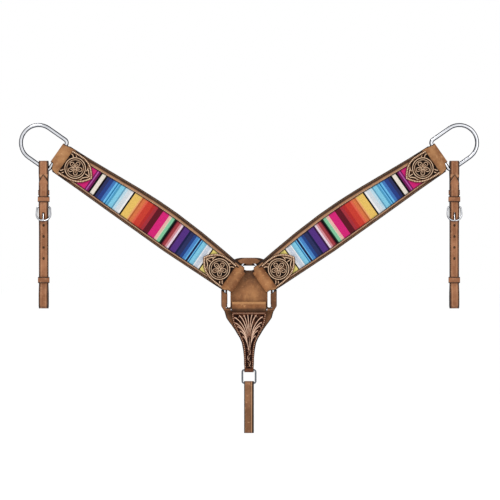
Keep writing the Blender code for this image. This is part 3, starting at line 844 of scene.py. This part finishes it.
def acanthus_relief(z, y, x):
    """Height and wear of the drop's face; the back of its fold stays plain."""
    plain_height, plain_wear, border = 0.45, 0.42, 3.6
    field_top, field_bottom = -54.2, -163
    if y > -11.5 and -168 < z < -64:
        return np.zeros(len(x)), np.full(len(x), 0.4)
    inside = along(DROP_FACE, z) - np.abs(x)
    field = (inside > border) & (z < field_top) & (z > field_bottom)
    floor = np.zeros(len(x))
    light = np.zeros(len(x))
    for stroke, width in ACANTHUS_STROKES:
        near, run = distance_to_line(x, np.full(len(x), z), stroke)
        swell = 0.5 + 0.5 * np.clip(run / 20, 0, 1)
        mark = ridge(near, width * swell) * (0.55 + 0.45 * swell)
        floor = np.maximum(floor, 0.65 * mark)
        light = np.maximum(light, mark)
    return np.where(field, floor, plain_height), np.where(field, light, plain_wear)


# ---- wings

def build_wing_backing(name, side):
    core = strap(name + "_wing_core", [(WING_INNER, HARDWARE_Y), (WING_OUTER, HARDWARE_Y)], on_wing(side),
                 CORE_BACK_Y - CORE_FRONT_Y, CORE, grain=-1, step=5, edge_round=1.6, inner=8,
                 widths=lambda a, y: (wing_bottom(a), wing_top(a)))
    finish_piece(core, name + "_wing", "dark_leather", name + "_wing_backing")


def border_strip(name, side, low, high, start, end, crease, outer=None):
    """One strip of the border. With its outer edge given, it has painted shade at that edge and in its
    crease, and a painted highlight beside the cloth."""
    # Painted shade at the outer edge and in the crease, painted highlight towards the cloth.
    def painted_light(a, y, b):
        if outer is None:
            return 0
        depth = abs(outer(a) - b)
        return (0.65 * smooth_step(depth, crease + 1.2, crease + 2.6)
                - 0.95 * bell(depth, crease, 1.1) - 1.0 * smooth_step(depth, 2.4, 1.2))
    path = [(start, FRONT_LEG_Y), (end, FRONT_LEG_Y)]
    return strap(name, path, on_wing(side), LEATHER, BORDER, grain=-1, step=4, edge_round=0.7,
                 creases=[(crease, 1.3, 0.35)], inner=16, painted_light=painted_light, widths=lambda a, y: (low(a), high(a)))


def build_wing_border(name, side):
    """The frame round the cloth: two long strips and the short ends, sewn down beside the window."""
    def end_low(a):
        return window_bottom(a) + STRIP_GAP

    def end_high(a):
        return window_top(a) - STRIP_GAP
    parts = [
        border_strip("top", side, window_top, wing_top, BORDER_INNER, BORDER_OUTER, 5.2, wing_top),
        border_strip("bottom", side, wing_bottom, window_bottom, BORDER_INNER, BORDER_OUTER, 3.6,
                     wing_bottom),
        border_strip("inner", side, end_low, end_high, BORDER_INNER, WINDOW_INNER, 2),
        border_strip("outer", side, end_low, end_high, WINDOW_OUTER, BORDER_OUTER, 2),
        border_strip("corner", side, lambda a: BORDER_CORNER_LOW, wing_top, WING_INNER,
                     BORDER_INNER - STRIP_GAP, 1.5, wing_top)]
    finish_piece(joined(name + "_wing_frame", parts), name + "_wing", "plain_leather", name + "_wing_border")

    def rows(*lines):
        skin = FRONT_LEG_Y - LEATHER / 2
        return [[wing_spot(side, a, edge(a) + inset, skin) for a in np.arange(*SEAM_STATIONS)]
                for edge, inset in lines]
    window_rows = rows((wing_top, -WINDOW_TOP_INSET + 1.7), (wing_bottom, WINDOW_BOTTOM_INSET - 1.7))
    seam = stitches(name + "_border_stitches", window_rows, LIGHT_THREAD, length=2.9, gap=1.2, radius=0.5)
    finish_piece(seam, name + "_wing", "plain_leather")
    edge_rows = rows((wing_top, -1.9), (wing_bottom, 1.9))
    seam = stitches(name + "_edge_stitches", edge_rows, TAN_THREAD, length=2.6, gap=1.4, radius=0.36)
    finish_piece(seam, name + "_wing", "plain_leather")


def build_serape(name, side):
    """The striped cloth, woven with each stripe straight across the wing."""
    start, end = WINDOW_OUTER - TUCK, WINDOW_INNER + TUCK
    stations, dyes = [], []
    a = start
    for dye, width in STRIPES:
        stop = max(end, a - width)
        if a - stop < 0.5:
            break
        stations += [a - BLUR, stop + BLUR]
        dyes += [lit(STRIPE_COLOURS[dye])] * 2
        a = stop
    stations[0], stations[-1] = start, end

    place = on_wing(side)
    columns = np.arange(CLOTH_COLUMNS)
    rings, edge, out, across, colours = [], [], [], [], []
    for a, dye in zip(stations, dyes):
        low, high = window_bottom(a) + TUCK, window_top(a) - TUCK
        w = np.linspace(low, high, CLOTH_COLUMNS)
        depth = -CLOTH / 2 - CLOTH_CROWN * (1 - (2 * columns / (CLOTH_COLUMNS - 1) - 1) ** 2)
        depth[[0, -1]] += CLOTH_RIM
        front = place(np.full(CLOTH_COLUMNS, a), w, SERAPE_Y + depth)
        back = place(np.full(2, a), np.array([high, low]), np.full(2, SERAPE_Y + CLOTH / 2))
        rings.append(np.concatenate([front, back]))
        edge.append(np.concatenate([np.minimum(w - low, high - w), [0, 0]]))
        out.append(np.full(len(rings[-1]), a))
        across.append(np.concatenate([w, [high, low]]))
        colours += [dye] * len(rings[-1])
    cloth = loft(name + "_serape_cloth", rings, SERAPE_CLOTH)
    for label, values in (("edge", edge), ("out", out), ("across", across)):
        set_values(cloth, label, np.concatenate(values))
    set_colours(cloth, "stripe", colours)
    finish_piece(cloth, name + "_wing", "serape_cloth", name + "_serape_panel")
    heights = [window_top(a) - window_bottom(a) - 2 * TUCK for a in np.linspace(end, start, 60)]


def build_patches(name, side):
    for label, base, out in (("inner", PATCH_INNER, 1), ("outer", PATCH_OUTER, -1)):
        def widths(a, y):
            s = (a - base) * out
            return along(PATCH_LOW, s), along(PATCH_HIGH, s)

        def relief(a, y, across):
            return rose_relief(np.full(len(across), (a - base) * out), across)
        path = [(base, CARVED_Y), (base + out * (PATCH_TIP - 0.3), CARVED_Y)]
        patch = strap("%s_%s_patch" % (name, label), path, on_wing(side), CARVED, ROSE, grain=-out, step=0.55,
                      edge_round=0.5, inner=96, relief=relief, widths=widths)
        finish_piece(patch, name + "_wing", "tooled_leather", "%s_%s_overlay" % (name, label))


def build_inner_loop(name, side):
    """The plain tan leather folded round the centre ring; its two folds make the V at the centre."""
    fold, low, high, flare, shoulder = 22.4, -29.5, 20, -34.5, 26.8
    path = rounded([(60, BACK_LEG_Y, 0, low, high), (fold, BACK_LEG_Y, RING_FOLD, low, high),
                    (fold, FRONT_LEG_Y, RING_FOLD, low, high), (30, FRONT_LEG_Y, 0, low, shoulder),
                    (38.8, FRONT_LEG_Y, 0, flare, shoulder), (39.3, FRONT_LEG_Y, 0, flare, high),
                    (50, FRONT_LEG_Y, 0, flare, high)])

    # Painted light: painted shade on the back leg and into the V at the fold, painted highlights on the front
    # of the fold and along the cut edges.
    def painted_light(a, y, b):
        if y > -9:
            return -0.2
        cut_edge = 0.5 * bell(a, 48.8, 0.9) + 0.45 * smooth_step(b, -31, -33.5)
        return 0.35 * bell(a, 34, 7) + cut_edge - 0.7 * bell(a, 20.4, 2.4)
    loop = strap(name + "_inner_fold", path, on_wing(side), LEATHER, CENTRE, grain=-1, step=1.5, inner=8,
                 painted_light=painted_light)
    finish_piece(loop, name + "_wing", "plain_leather", name + "_inner_loop")


def build_outer_loop(name, side):
    """The plain tan leather folded round the dee's straight bar, tapered towards the fold."""
    reach, fold, half = 5.4, 467.9, 22.5
    back, front, radius = HARDWARE_Y + reach, HARDWARE_Y - reach, reach - 0.05
    path = rounded([(420, BACK_LEG_Y, 0, -half, half), (447, BACK_LEG_Y, 0, -half, half),
                    (457, back, 0, -half, half), (fold, back, radius, -half, half),
                    (fold, front, radius, -half, half), (457, front, 0, -34.6, 23.8),
                    (447, FRONT_LEG_Y, 0, -36.8, 25.6), (439, FRONT_LEG_Y, 0, -36.8, 26)])

    # Painted light: painted shade on the back leg and at the fold round the dee, a painted highlight just
    # before the fold.
    def painted_light(a, y, b):
        return -0.2 if y > -9 else 0.25 * bell(a, 456, 6) - 0.5 * bell(a, 470, 2.5)
    loop = strap(name + "_outer_fold", path, on_wing(side), LEATHER, BAND, step=1.5, inner=8, painted_light=painted_light,
                 edge_round=0.7)
    finish_piece(loop, name + "_wing", "plain_leather", name + "_outer_loop")


def build_dee(name, side):
    corners = [(462.5, -40.5, 8), (545.5, -40.5, 35.4), (545.5, 30.5, 35.4), (462.5, 30.5, 8)]
    points = [(side * (a * COS - b * SIN), HARDWARE_Y, a * SIN + b * COS) for a, b in rounded(corners)]
    finish_piece(wire(name + "_dee_ring", points, DEE_WIRE), name + "_dee", "nickel", name + "_dee")


# ---- tugs

def tug_path():
    """The middle line of a tug: from under the buckle's bar, over the dee, round the lower loop, and up
    through the keepers and the buckle to the billet's tip."""
    line = [(196, PLY_INNER), (156.85, PLY_INNER, SMALL_FOLD), (156.85, -13.45, SMALL_FOLD), (160, -13.45),
            (169, PLY_MIDDLE), (214, PLY_MIDDLE), (226, OVER_DEE_FRONT), (251.5, OVER_DEE_FRONT, DEE_FOLD),
            (251.5, OVER_DEE_BACK, DEE_FOLD), (226, OVER_DEE_BACK), (216, PLY_BACK), (150, PLY_BACK),
            (125, PLY_INNER), (5, PLY_INNER), (-14, OVER_DEE_BACK), (-41.9, OVER_DEE_BACK, DEE_FOLD),
            (-41.9, OVER_DEE_FRONT, DEE_FOLD), (-14, OVER_DEE_FRONT), (5, PLY_MIDDLE), (112, PLY_MIDDLE),
            (HEEL_Z, -11.6), (152, -15.95), (BAR_Z, -15.95), (169, PLY_FRONT)]
    return even_strap(line, TUG_HALF) + [(z, y, -half, half) for (z, half), y in zip(TUG_TIP, TUG_TIP_Y)]


def round_tool(radius, length, location, rotation):
    bpy.ops.mesh.primitive_cylinder_add(vertices=28, radius=radius * MM, depth=length * MM,
                                        location=Vector(location) * MM, rotation=rotation)
    return bpy.context.object


def box_tool(size, location):
    bpy.ops.mesh.primitive_cube_add(size=1, location=Vector(location) * MM)
    tool = bpy.context.object
    tool.scale = Vector(size) * MM
    return tool


def build_tug_strap(name, side):
    """One strap with a bite for the buckle's bar, a slot for the tongue, and holes in the billet."""
    x = side * TUG_X

    # Painted light: painted shade where the strap turns round the dees and in the creases, painted highlights
    # beside the creases and along the cut edges of the billet's tip.
    def painted_light(z, y, across):
        reach = abs(across)
        fold = 0.5 * smooth_step(z, -36, -40) + 0.35 * smooth_step(z, 247, 251)
        if 205 < z < 225 and y < -12.5:
            return smooth_step(along(TUG_TIP, z) - reach, 2.6, 1.0) - fold
        return 0.6 * bell(reach, 5.1, 1.0) - 0.75 * bell(reach, 7.0, 1.1) - fold
    piece = strap(name + "_tug_leather", tug_path(), hanging(x), LEATHER, STRAP, grain=-1, step=3,
                  creases=[(2.9, 1.1, 0.35)], inner=26, painted_light=painted_light)
    bite = round_tool(4.45, 4.4, (x, BAR_Y, BAR_Z), (0, QUARTER, 0))
    tongue_slot = box_tool((5, 7.5, 11), (x, -14, 143.5))
    holes = [round_tool(2.25, 5.6, (x, -11.2, z), (QUARTER, 0, 0)) for z in BILLET_HOLES]
    cut(piece, [bite, tongue_slot] + holes).set_sharp_from_angle(angle=math.radians(35))
    finish_piece(piece, name + "_tug", "plain_leather", name + "_tug_strap")

    front, inset = PLY_MIDDLE - LEATHER / 2, 7.9
    rows = [[Vector((x + edge * inset, front, z)) * MM for z in range(24, 112, 4)] for edge in (-1, 1)]
    seam = stitches(name + "_tug_stitches", rows, TAN_THREAD, length=2.6, gap=1.5, radius=0.18)
    finish_piece(seam, name + "_tug", "plain_leather")


def build_keeper(name, label, body, side, y_back, y_front, z_low, z_high, wall):
    """A band round the strap; a wide one has a crease along each edge."""
    out = wall / 2
    half, back, front = TUG_HALF + 0.3 + out, y_back + out, y_front - out
    corners = [(TUG_X - half, front), (TUG_X + half, front), (TUG_X + half, back), (TUG_X - half, back)]
    path = rounded([(*corner, 0.4 + out, z_low, z_high) for corner in corners])
    keeper = strap("%s_%s_band" % (name, label), path, upright(side), wall, STRAP, grain=-1, step=3,
                   creases=[(2.2, 0.9, 0.3)] if z_high - z_low > 8 else [], inner=2, closed=True,
                   edge_round=0.45)
    finish_piece(keeper, body, "plain_leather", "%s_%s" % (name, label))


def build_keepers(name, side):
    tug = name + "_tug"
    build_keeper(name, "upper_keeper", tug, side, -3.25, -11.05, 184, 194, 1.2)
    build_keeper(name, "middle_keeper", tug, side, -3.25, -15.05, 170, 181, WRAP)
    build_keeper(name, "lower_keeper", name + "_lower_keeper", side, -5.75, -11.05, 8, 20, WRAP)


def build_buckle(name, side):
    """The frame runs from its bar to its heel, and the tongue curls round the bar and lies on the heel."""
    x_mid = side * TUG_X
    run = Vector((HEEL_Z - BAR_Z, HEEL_Y - BAR_Y))
    length = run.length
    run.normalize()
    outline = both_halves([(-12.8, 0, 3.5), (-13.9, 14, 20), (-13.9, length, 12.5)])
    points = [(x_mid + x, BAR_Y + run.y * t, BAR_Z + run.x * t) for x, t in outline]
    frame_wire = wire(name + "_buckle", points, SMALL_WIRE)
    finish_piece(frame_wire, name + "_buckle", "nickel", name + "_buckle_frame")

    curl, turns, wound = SMALL_WIRE + TONGUE_WIRE + 0.25, 28, math.radians(250)
    tip = Vector((132.2, HEEL_Y - SMALL_WIRE - TONGUE_WIRE - 0.8))
    bar = Vector((BAR_Z, BAR_Y))
    leave = math.atan2(tip.y - bar.y, tip.x - bar.x) - math.acos(curl / (tip - bar).length)
    angles = [leave - wound * (1 - k / turns) for k in range(turns + 1)]
    route = [(x_mid, bar.y + curl * math.sin(angle), bar.x + curl * math.cos(angle)) for angle in angles]
    tongue = wire(name + "_buckle_pin", route + [(x_mid, tip.y, tip.x)], TONGUE_WIRE, closed=False)
    finish_piece(tongue, name + "_tongue", "nickel", name + "_buckle_tongue")


# ---- centre

def prism(name, points, y_mid, depth):
    """A solid with this outline in the XZ plane, as a tool for cuts."""
    area = sum(p[0] * q[1] - q[0] * p[1] for p, q in zip(points, points[1:] + points[:1]))
    points = points if area > 0 else points[::-1]
    mesh = curve_mesh(name, [(u * MM, v * MM, 0) for u, v in points], True, recalculate=False,
                      dimensions="2D", fill_mode="BOTH", extrude=depth / 2 * MM)
    tool = linked(name, mesh)
    tool.rotation_euler = (QUARTER, 0, 0)
    tool.location = (0, y_mid * MM, 0)
    return tool


def cut_slab(name, outline, holes, y_mid, thickness, finish):
    """A flat sheet in the XZ plane with a fine grid of faces, so that it can bend."""
    cell, margin, overcut = 2.0, 3, 4
    xs, zs = [p[0] for p in outline], [p[1] for p in outline]
    low_x, high_x, low_z, high_z = min(xs) - margin, max(xs) + margin, min(zs) - margin, max(zs) + margin
    wide, tall = high_x - low_x, high_z - low_z
    grid = bmesh.new()
    bmesh.ops.create_grid(grid, x_segments=math.ceil(wide / cell), y_segments=math.ceil(tall / cell),
                          size=0.5)
    bmesh.ops.scale(grid, vec=(wide * MM, tall * MM, 1), verts=grid.verts)
    raised = bmesh.ops.extrude_face_region(grid, geom=grid.faces[:])["geom"]
    bmesh.ops.translate(grid, vec=(0, 0, thickness * MM),
                        verts=[item for item in raised if isinstance(item, bmesh.types.BMVert)])
    bmesh.ops.translate(grid, vec=((low_x + high_x) / 2 * MM, (low_z + high_z) / 2 * MM, -thickness / 2 * MM),
                        verts=grid.verts)
    bmesh.ops.rotate(grid, matrix=Matrix.Rotation(QUARTER, 3, "X"), verts=grid.verts)
    bmesh.ops.translate(grid, vec=(0, y_mid * MM, 0), verts=grid.verts)
    bmesh.ops.recalc_face_normals(grid, faces=grid.faces)
    mesh = bpy.data.meshes.new(name)
    grid.to_mesh(mesh)
    grid.free()
    slab = linked(name, mesh)
    depth = thickness + overcut
    tools = [prism("%s_hole_%d" % (name, i), hole, y_mid, depth) for i, hole in enumerate(holes)]
    final = cut(slab, tools, outline=prism(name + "_outline", outline, y_mid, depth))
    final.materials.clear()
    final.materials.append(finish)
    final.shade_smooth()
    final.set_sharp_from_angle(angle=math.radians(35))
    return slab


def build_ring_safe():
    """The flat leather behind the ring, in two halves."""
    lens = rounded([(-15, 42.4, 1), (15, 42.4, 1), (8, 33.2, 7.5), (-8, 33.2, 7.5)])
    slot = rounded([(37.2, -41, 2.5), (43.6, -41, 2.5), (43.6, -6, 2.5), (37.2, -6, 2.5)])
    half = rounded([(0, 58.5, 0), (34, 58.5, 39), (54.5, 30, 39), (54.5, -4, 60), (52, -38, 0), (49, -50, 0),
                    (0, -50, 0)])
    bend_start, bend_end = 33.5, 50
    for name, side in SIDES.items():
        outline, side_slot = ([(side * x, z) for x, z in shape] for shape in (half, slot))
        safe = cut_slab("ring_safe_" + name, outline, [side_slot, lens], -SAFE / 2, SAFE, SAFE_LEATHER)
        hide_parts("ring_safe")
        wing_spot(side, bend_start, 0, HARDWARE_Y)
        wing_spot(side, bend_end, 0, HARDWARE_Y)
        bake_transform(safe)


def build_centre_ring():
    outline = both_halves([(-8.3, 51, 10), (-48.5, -6.4, 8), (-48.5, -45, 10)])
    ring = wire("centre_ring_steel", [(x, HARDWARE_Y, z) for x, z in outline], RING_WIRE)
    finish_piece(ring, "centre", "nickel", "centre_ring")


def build_side_wrap(name, side):
    """The leather sewn over one side of the ring, with a foot over the ring's lower corner."""
    path = rounded([(55, WRAP_END_Y, 0), (53, WRAP_Y, 2), (45.2, WRAP_Y, 2), (43.9, WRAP_END_Y, 0)])

    def widths(x, y):
        tucked = x < 47.2 and y > WRAP_Y + 0.1
        return -34 if tucked else WRAP_FOOT + max(0, x - 49.5) * 1.9, (-36.2 + x * SIN) / COS
    # Painted shade on the parts that turn back behind the front.
    tab = strap("tab", path, upright(side), WRAP, WRAP_LEATHER, step=1.2, inner=8, edge_round=0.5,
                widths=widths, painted_light=lambda x, y, z: -0.35 if y > WRAP_Y + 1 else 0.05)
    foot_path = [(x, WRAP_Y, WRAP_FOOT + 0.1, -41.6) for x in (48.5, 36.4)]
    foot = strap("foot", foot_path, upright(side), WRAP - 0.1, WRAP_LEATHER, step=1.2, inner=5,
                 edge_round=0.5)
    wrap = joined("ring_wrap_%s_tab" % name, [tab, foot])
    finish_piece(wrap, "centre", "plain_leather", "ring_wrap_" + name)


def build_top_wrap():
    """The leather sewn over the top of the ring: an arc above, and the edges of the V at its sides."""
    arc_radius, arc_z, v_limit, tucked_half = 50.4, 8.1, 28.6, 7.6
    path = rounded([(57.8, WRAP_END_Y, 0), (55.2, WRAP_Y, 2), (46.6, WRAP_Y, 2), (43.2, WRAP_END_Y, 0)])

    def widths(z, y):
        half = min((z * COS - v_limit) / SIN, math.sqrt(arc_radius ** 2 - (z - arc_z) ** 2))
        if z < 47.5 and y > WRAP_Y + 0.1:
            half = tucked_half
        return -half, half
    # Painted shade on the parts that turn back behind the front.
    wrap = strap("ring_wrap_top_tab", path, hanging(0), WRAP, WRAP_LEATHER, step=1.2, inner=12,
                 edge_round=0.5, widths=widths, painted_light=lambda z, y, x: 0.1 if y < -11 else -0.35)
    finish_piece(wrap, "centre", "plain_leather", "ring_wrap_top")


# ---- drop and girth strap

def build_drop():
    """The roll over the ring, the backing, and the carved face that folds round the small ring."""
    path = rounded(centred([
        (-150, -7.3, 0, 8.5), (-130, -7.3, 0, 9), (-95, -7.3, 0, 17), (-75, -7.3, 0, 32),
        (-64, -7.3, 0, 32), (-50, BACK_LEG_Y, 0, 33), (-30.5, BACK_LEG_Y, RING_FOLD, 35),
        (-30.5, FRONT_LEG_Y, RING_FOLD, 35), (-46, FRONT_LEG_Y, 0, 35), (-58, -9.8, 0, 32),
        (-75, -9.8, 0, 32), (-95, -9.8, 0, 17)]))

    # Painted light: painted shade on the back leg, a painted highlight on top of the roll, painted shade on
    # its lower part.
    def painted_light(z, y, across):
        return -0.2 if y > -9 else 0.75 * bell(z, -31.5, 3.4) - 0.75 * max(0, min(1, (-39 - z) / 6))
    roll = strap("drop_roll", path, hanging(0), LEATHER, CENTRE, step=1.5, inner=10, painted_light=painted_light)
    finish_piece(roll, "drop", "plain_leather", "drop_loop")

    depth = [(DROP_TOP, -1.25), (-64, -4.65), (-156.5, -4.65)]
    outline = [(DROP_TOP, 48.8), (-62, 45.5), (-64, 44.2), (-70, 40), (-78, 34), (-86, 28.5), (-94, 23.8),
               (-102, 18.8), (-112, 14.5), (-126, 11.8), (-142, 10.2), (-156.5, 10)]
    path = [(z, along(depth, z), -half, half) for z, half in outline]
    back = strap("drop_back", path, hanging(0), SAFE, DROP_BACK, step=3, inner=8, edge_round=0.8)
    finish_piece(back, "drop", "dark_leather", "drop_backing")

    half = 9.4
    face = [(z, FRONT_LEG_Y if z < DROP_TOP else DROP_FACE_TOP_Y, 0, w) for z, w in DROP_FACE if z > -163.5]
    fold = [(-168.9, FRONT_LEG_Y, SMALL_FOLD, half), (-168.9, -6, SMALL_FOLD, half), (-160, -6, 0, half),
            (-154, -9.8, 0, half), (-98, -9.8, 0, half)]
    front = strap("drop_face", rounded(centred(face + fold)), hanging(0), LEATHER, ACANTHUS, step=0.8,
                  inner=110, relief=acanthus_relief, edge_round=0.5)
    finish_piece(front, "drop", "tooled_leather", "drop_overlay")

    inset, seam_top = 1.9, -52.2

    def seam_spot(x, z):
        skin = along([(DROP_TOP, DROP_FACE_TOP_Y), (-62, FRONT_LEG_Y), (-170, FRONT_LEG_Y)], z)
        return Vector((x, skin - LEATHER / 2 - 0.45, z)) * MM
    rows = [[seam_spot(way * (along(DROP_FACE, z) - inset), z) for z in np.arange(-161, -52, 2.0)]
            for way in (-1, 1)]
    rows.append([seam_spot(x, seam_top) for x in (-32, 32)])
    seam = stitches("drop_stitches", rows, LIGHT_THREAD, length=2.1, gap=1.9, radius=0.62)
    finish_piece(seam, "drop", "tooled_leather")


def build_drop_ring():
    half, low, high, radius = SMALL_RING_HALF, SMALL_RING_BOTTOM, SMALL_RING_TOP, 4
    corners = [(-half, high, radius), (-half, low, radius), (half, low, radius), (half, high, radius)]
    points = [(x, SMALL_RING_Y, z) for x, z in rounded(corners)]
    ring = wire("drop_ring_steel", points, SMALL_WIRE, finish=DARK_NICKEL)
    finish_piece(ring, "drop_ring", "nickel", "drop_ring")


def build_girth_strap():
    """The doubled strap, folded round the small ring and turned back at its foot."""
    foot_fold = 1.75
    line = [(-230, -9.15), (-206, -9.15), (-197, -6), (-189.1, -6, SMALL_FOLD), (-189.1, -12.3, SMALL_FOLD),
            (-196, -12.3), (-206, -11.65), (-236, -10.95), (-291, -10.95, foot_fold),
            (-291, -7.35, foot_fold), (-236, -7.35), (-230, -6.65), (-207, -6.65)]

    # Painted light: painted shade at both folds; on the front, a painted highlight line, a painted shade
    # line, and painted shade from the crease to the right edge.
    def painted_light(z, y, across):
        ends = -0.7 * bell(z, -292, 2) - 0.5 * bell(z, -188, 2)
        if y >= -10:
            return ends
        painted_lines = 0.9 * bell(across, 5.0, 0.9) - 0.5 * bell(across, 2.8, 1.0)
        return ends + painted_lines - 1.1 * smooth_step(across, 5.8, 6.6)
    piece = strap("girth_strap_leather", even_strap(line, GIRTH_HALF), hanging(0), LEATHER, GIRTH, step=2.5,
                  inner=24, creases=[(3.7, 1.1, 0.3)], painted_light=painted_light)
    finish_piece(piece, "girth_strap", "plain_leather", "girth_strap")


# ---- studio

def build_studio():
    """A camera straight in front, a white sky, two soft lamps, and a pale floor well below the collar."""
    view_width, distance, drop_to_floor = 1.0, 4.0, 0.35
    target = Vector((0.002, HARDWARE_Y * MM, 0.074))
    data = bpy.data.cameras.new("camera")
    data.lens = data.sensor_width * distance / view_width
    data.clip_end = 100
    camera = linked("camera", data)
    camera.location = target + Vector((0, -distance, 0))
    camera.rotation_euler = (QUARTER, 0, 0)
    scene = bpy.context.scene
    scene.camera = camera

    bpy.ops.mesh.primitive_plane_add(size=60, location=(0, 0, cad_bounds[0].z - drop_to_floor))
    floor = bpy.context.object
    floor.name = "studio_floor"
    n = Nodes("pale_floor")
    for socket, setting in (("Base Color", (0.95, 0.95, 0.95, 1)), ("Roughness", 0.9),
                            ("Emission Color", (1, 1, 1, 1)), ("Emission Strength", 0.06)):
        n.shader.inputs[socket].default_value = setting
    floor.data.materials.append(n.material)

    world = bpy.data.worlds.new("studio_sky")
    world.use_nodes = True
    sky = world.node_tree.nodes["Background"].inputs
    sky["Color"].default_value = (1, 1, 1, 1)
    sky["Strength"].default_value = 1.0
    scene.world = world
    for name, size, power, spot in (("key", 0.8, 22, (-0.9, -1.6, 1.9)), ("fill", 1.6, 8, (1.4, -1.8, 0.6))):
        lamp = bpy.data.lights.new(name, "AREA")
        lamp.size, lamp.energy = size, power
        holder = linked(name, lamp)
        holder.location = spot
        holder.rotation_euler = (target - holder.location).to_track_quat("-Z", "Y").to_euler()
    scene.view_settings.view_transform = "Standard"
    scene.view_settings.look = "None"


# ---- the whole collar

def main():
    build_studio()
    build_ring_safe()
    build_centre_ring()
    for name, side in SIDES.items():
        build_side_wrap(name, side)
    build_top_wrap()
    for name, side in SIDES.items():
        for build in (build_wing_backing, build_wing_border, build_serape, build_patches, build_inner_loop,
                      build_outer_loop, build_dee, build_tug_strap, build_keepers, build_buckle):
            build(name, side)
    build_drop()
    build_drop_ring()
    build_girth_strap()


main()
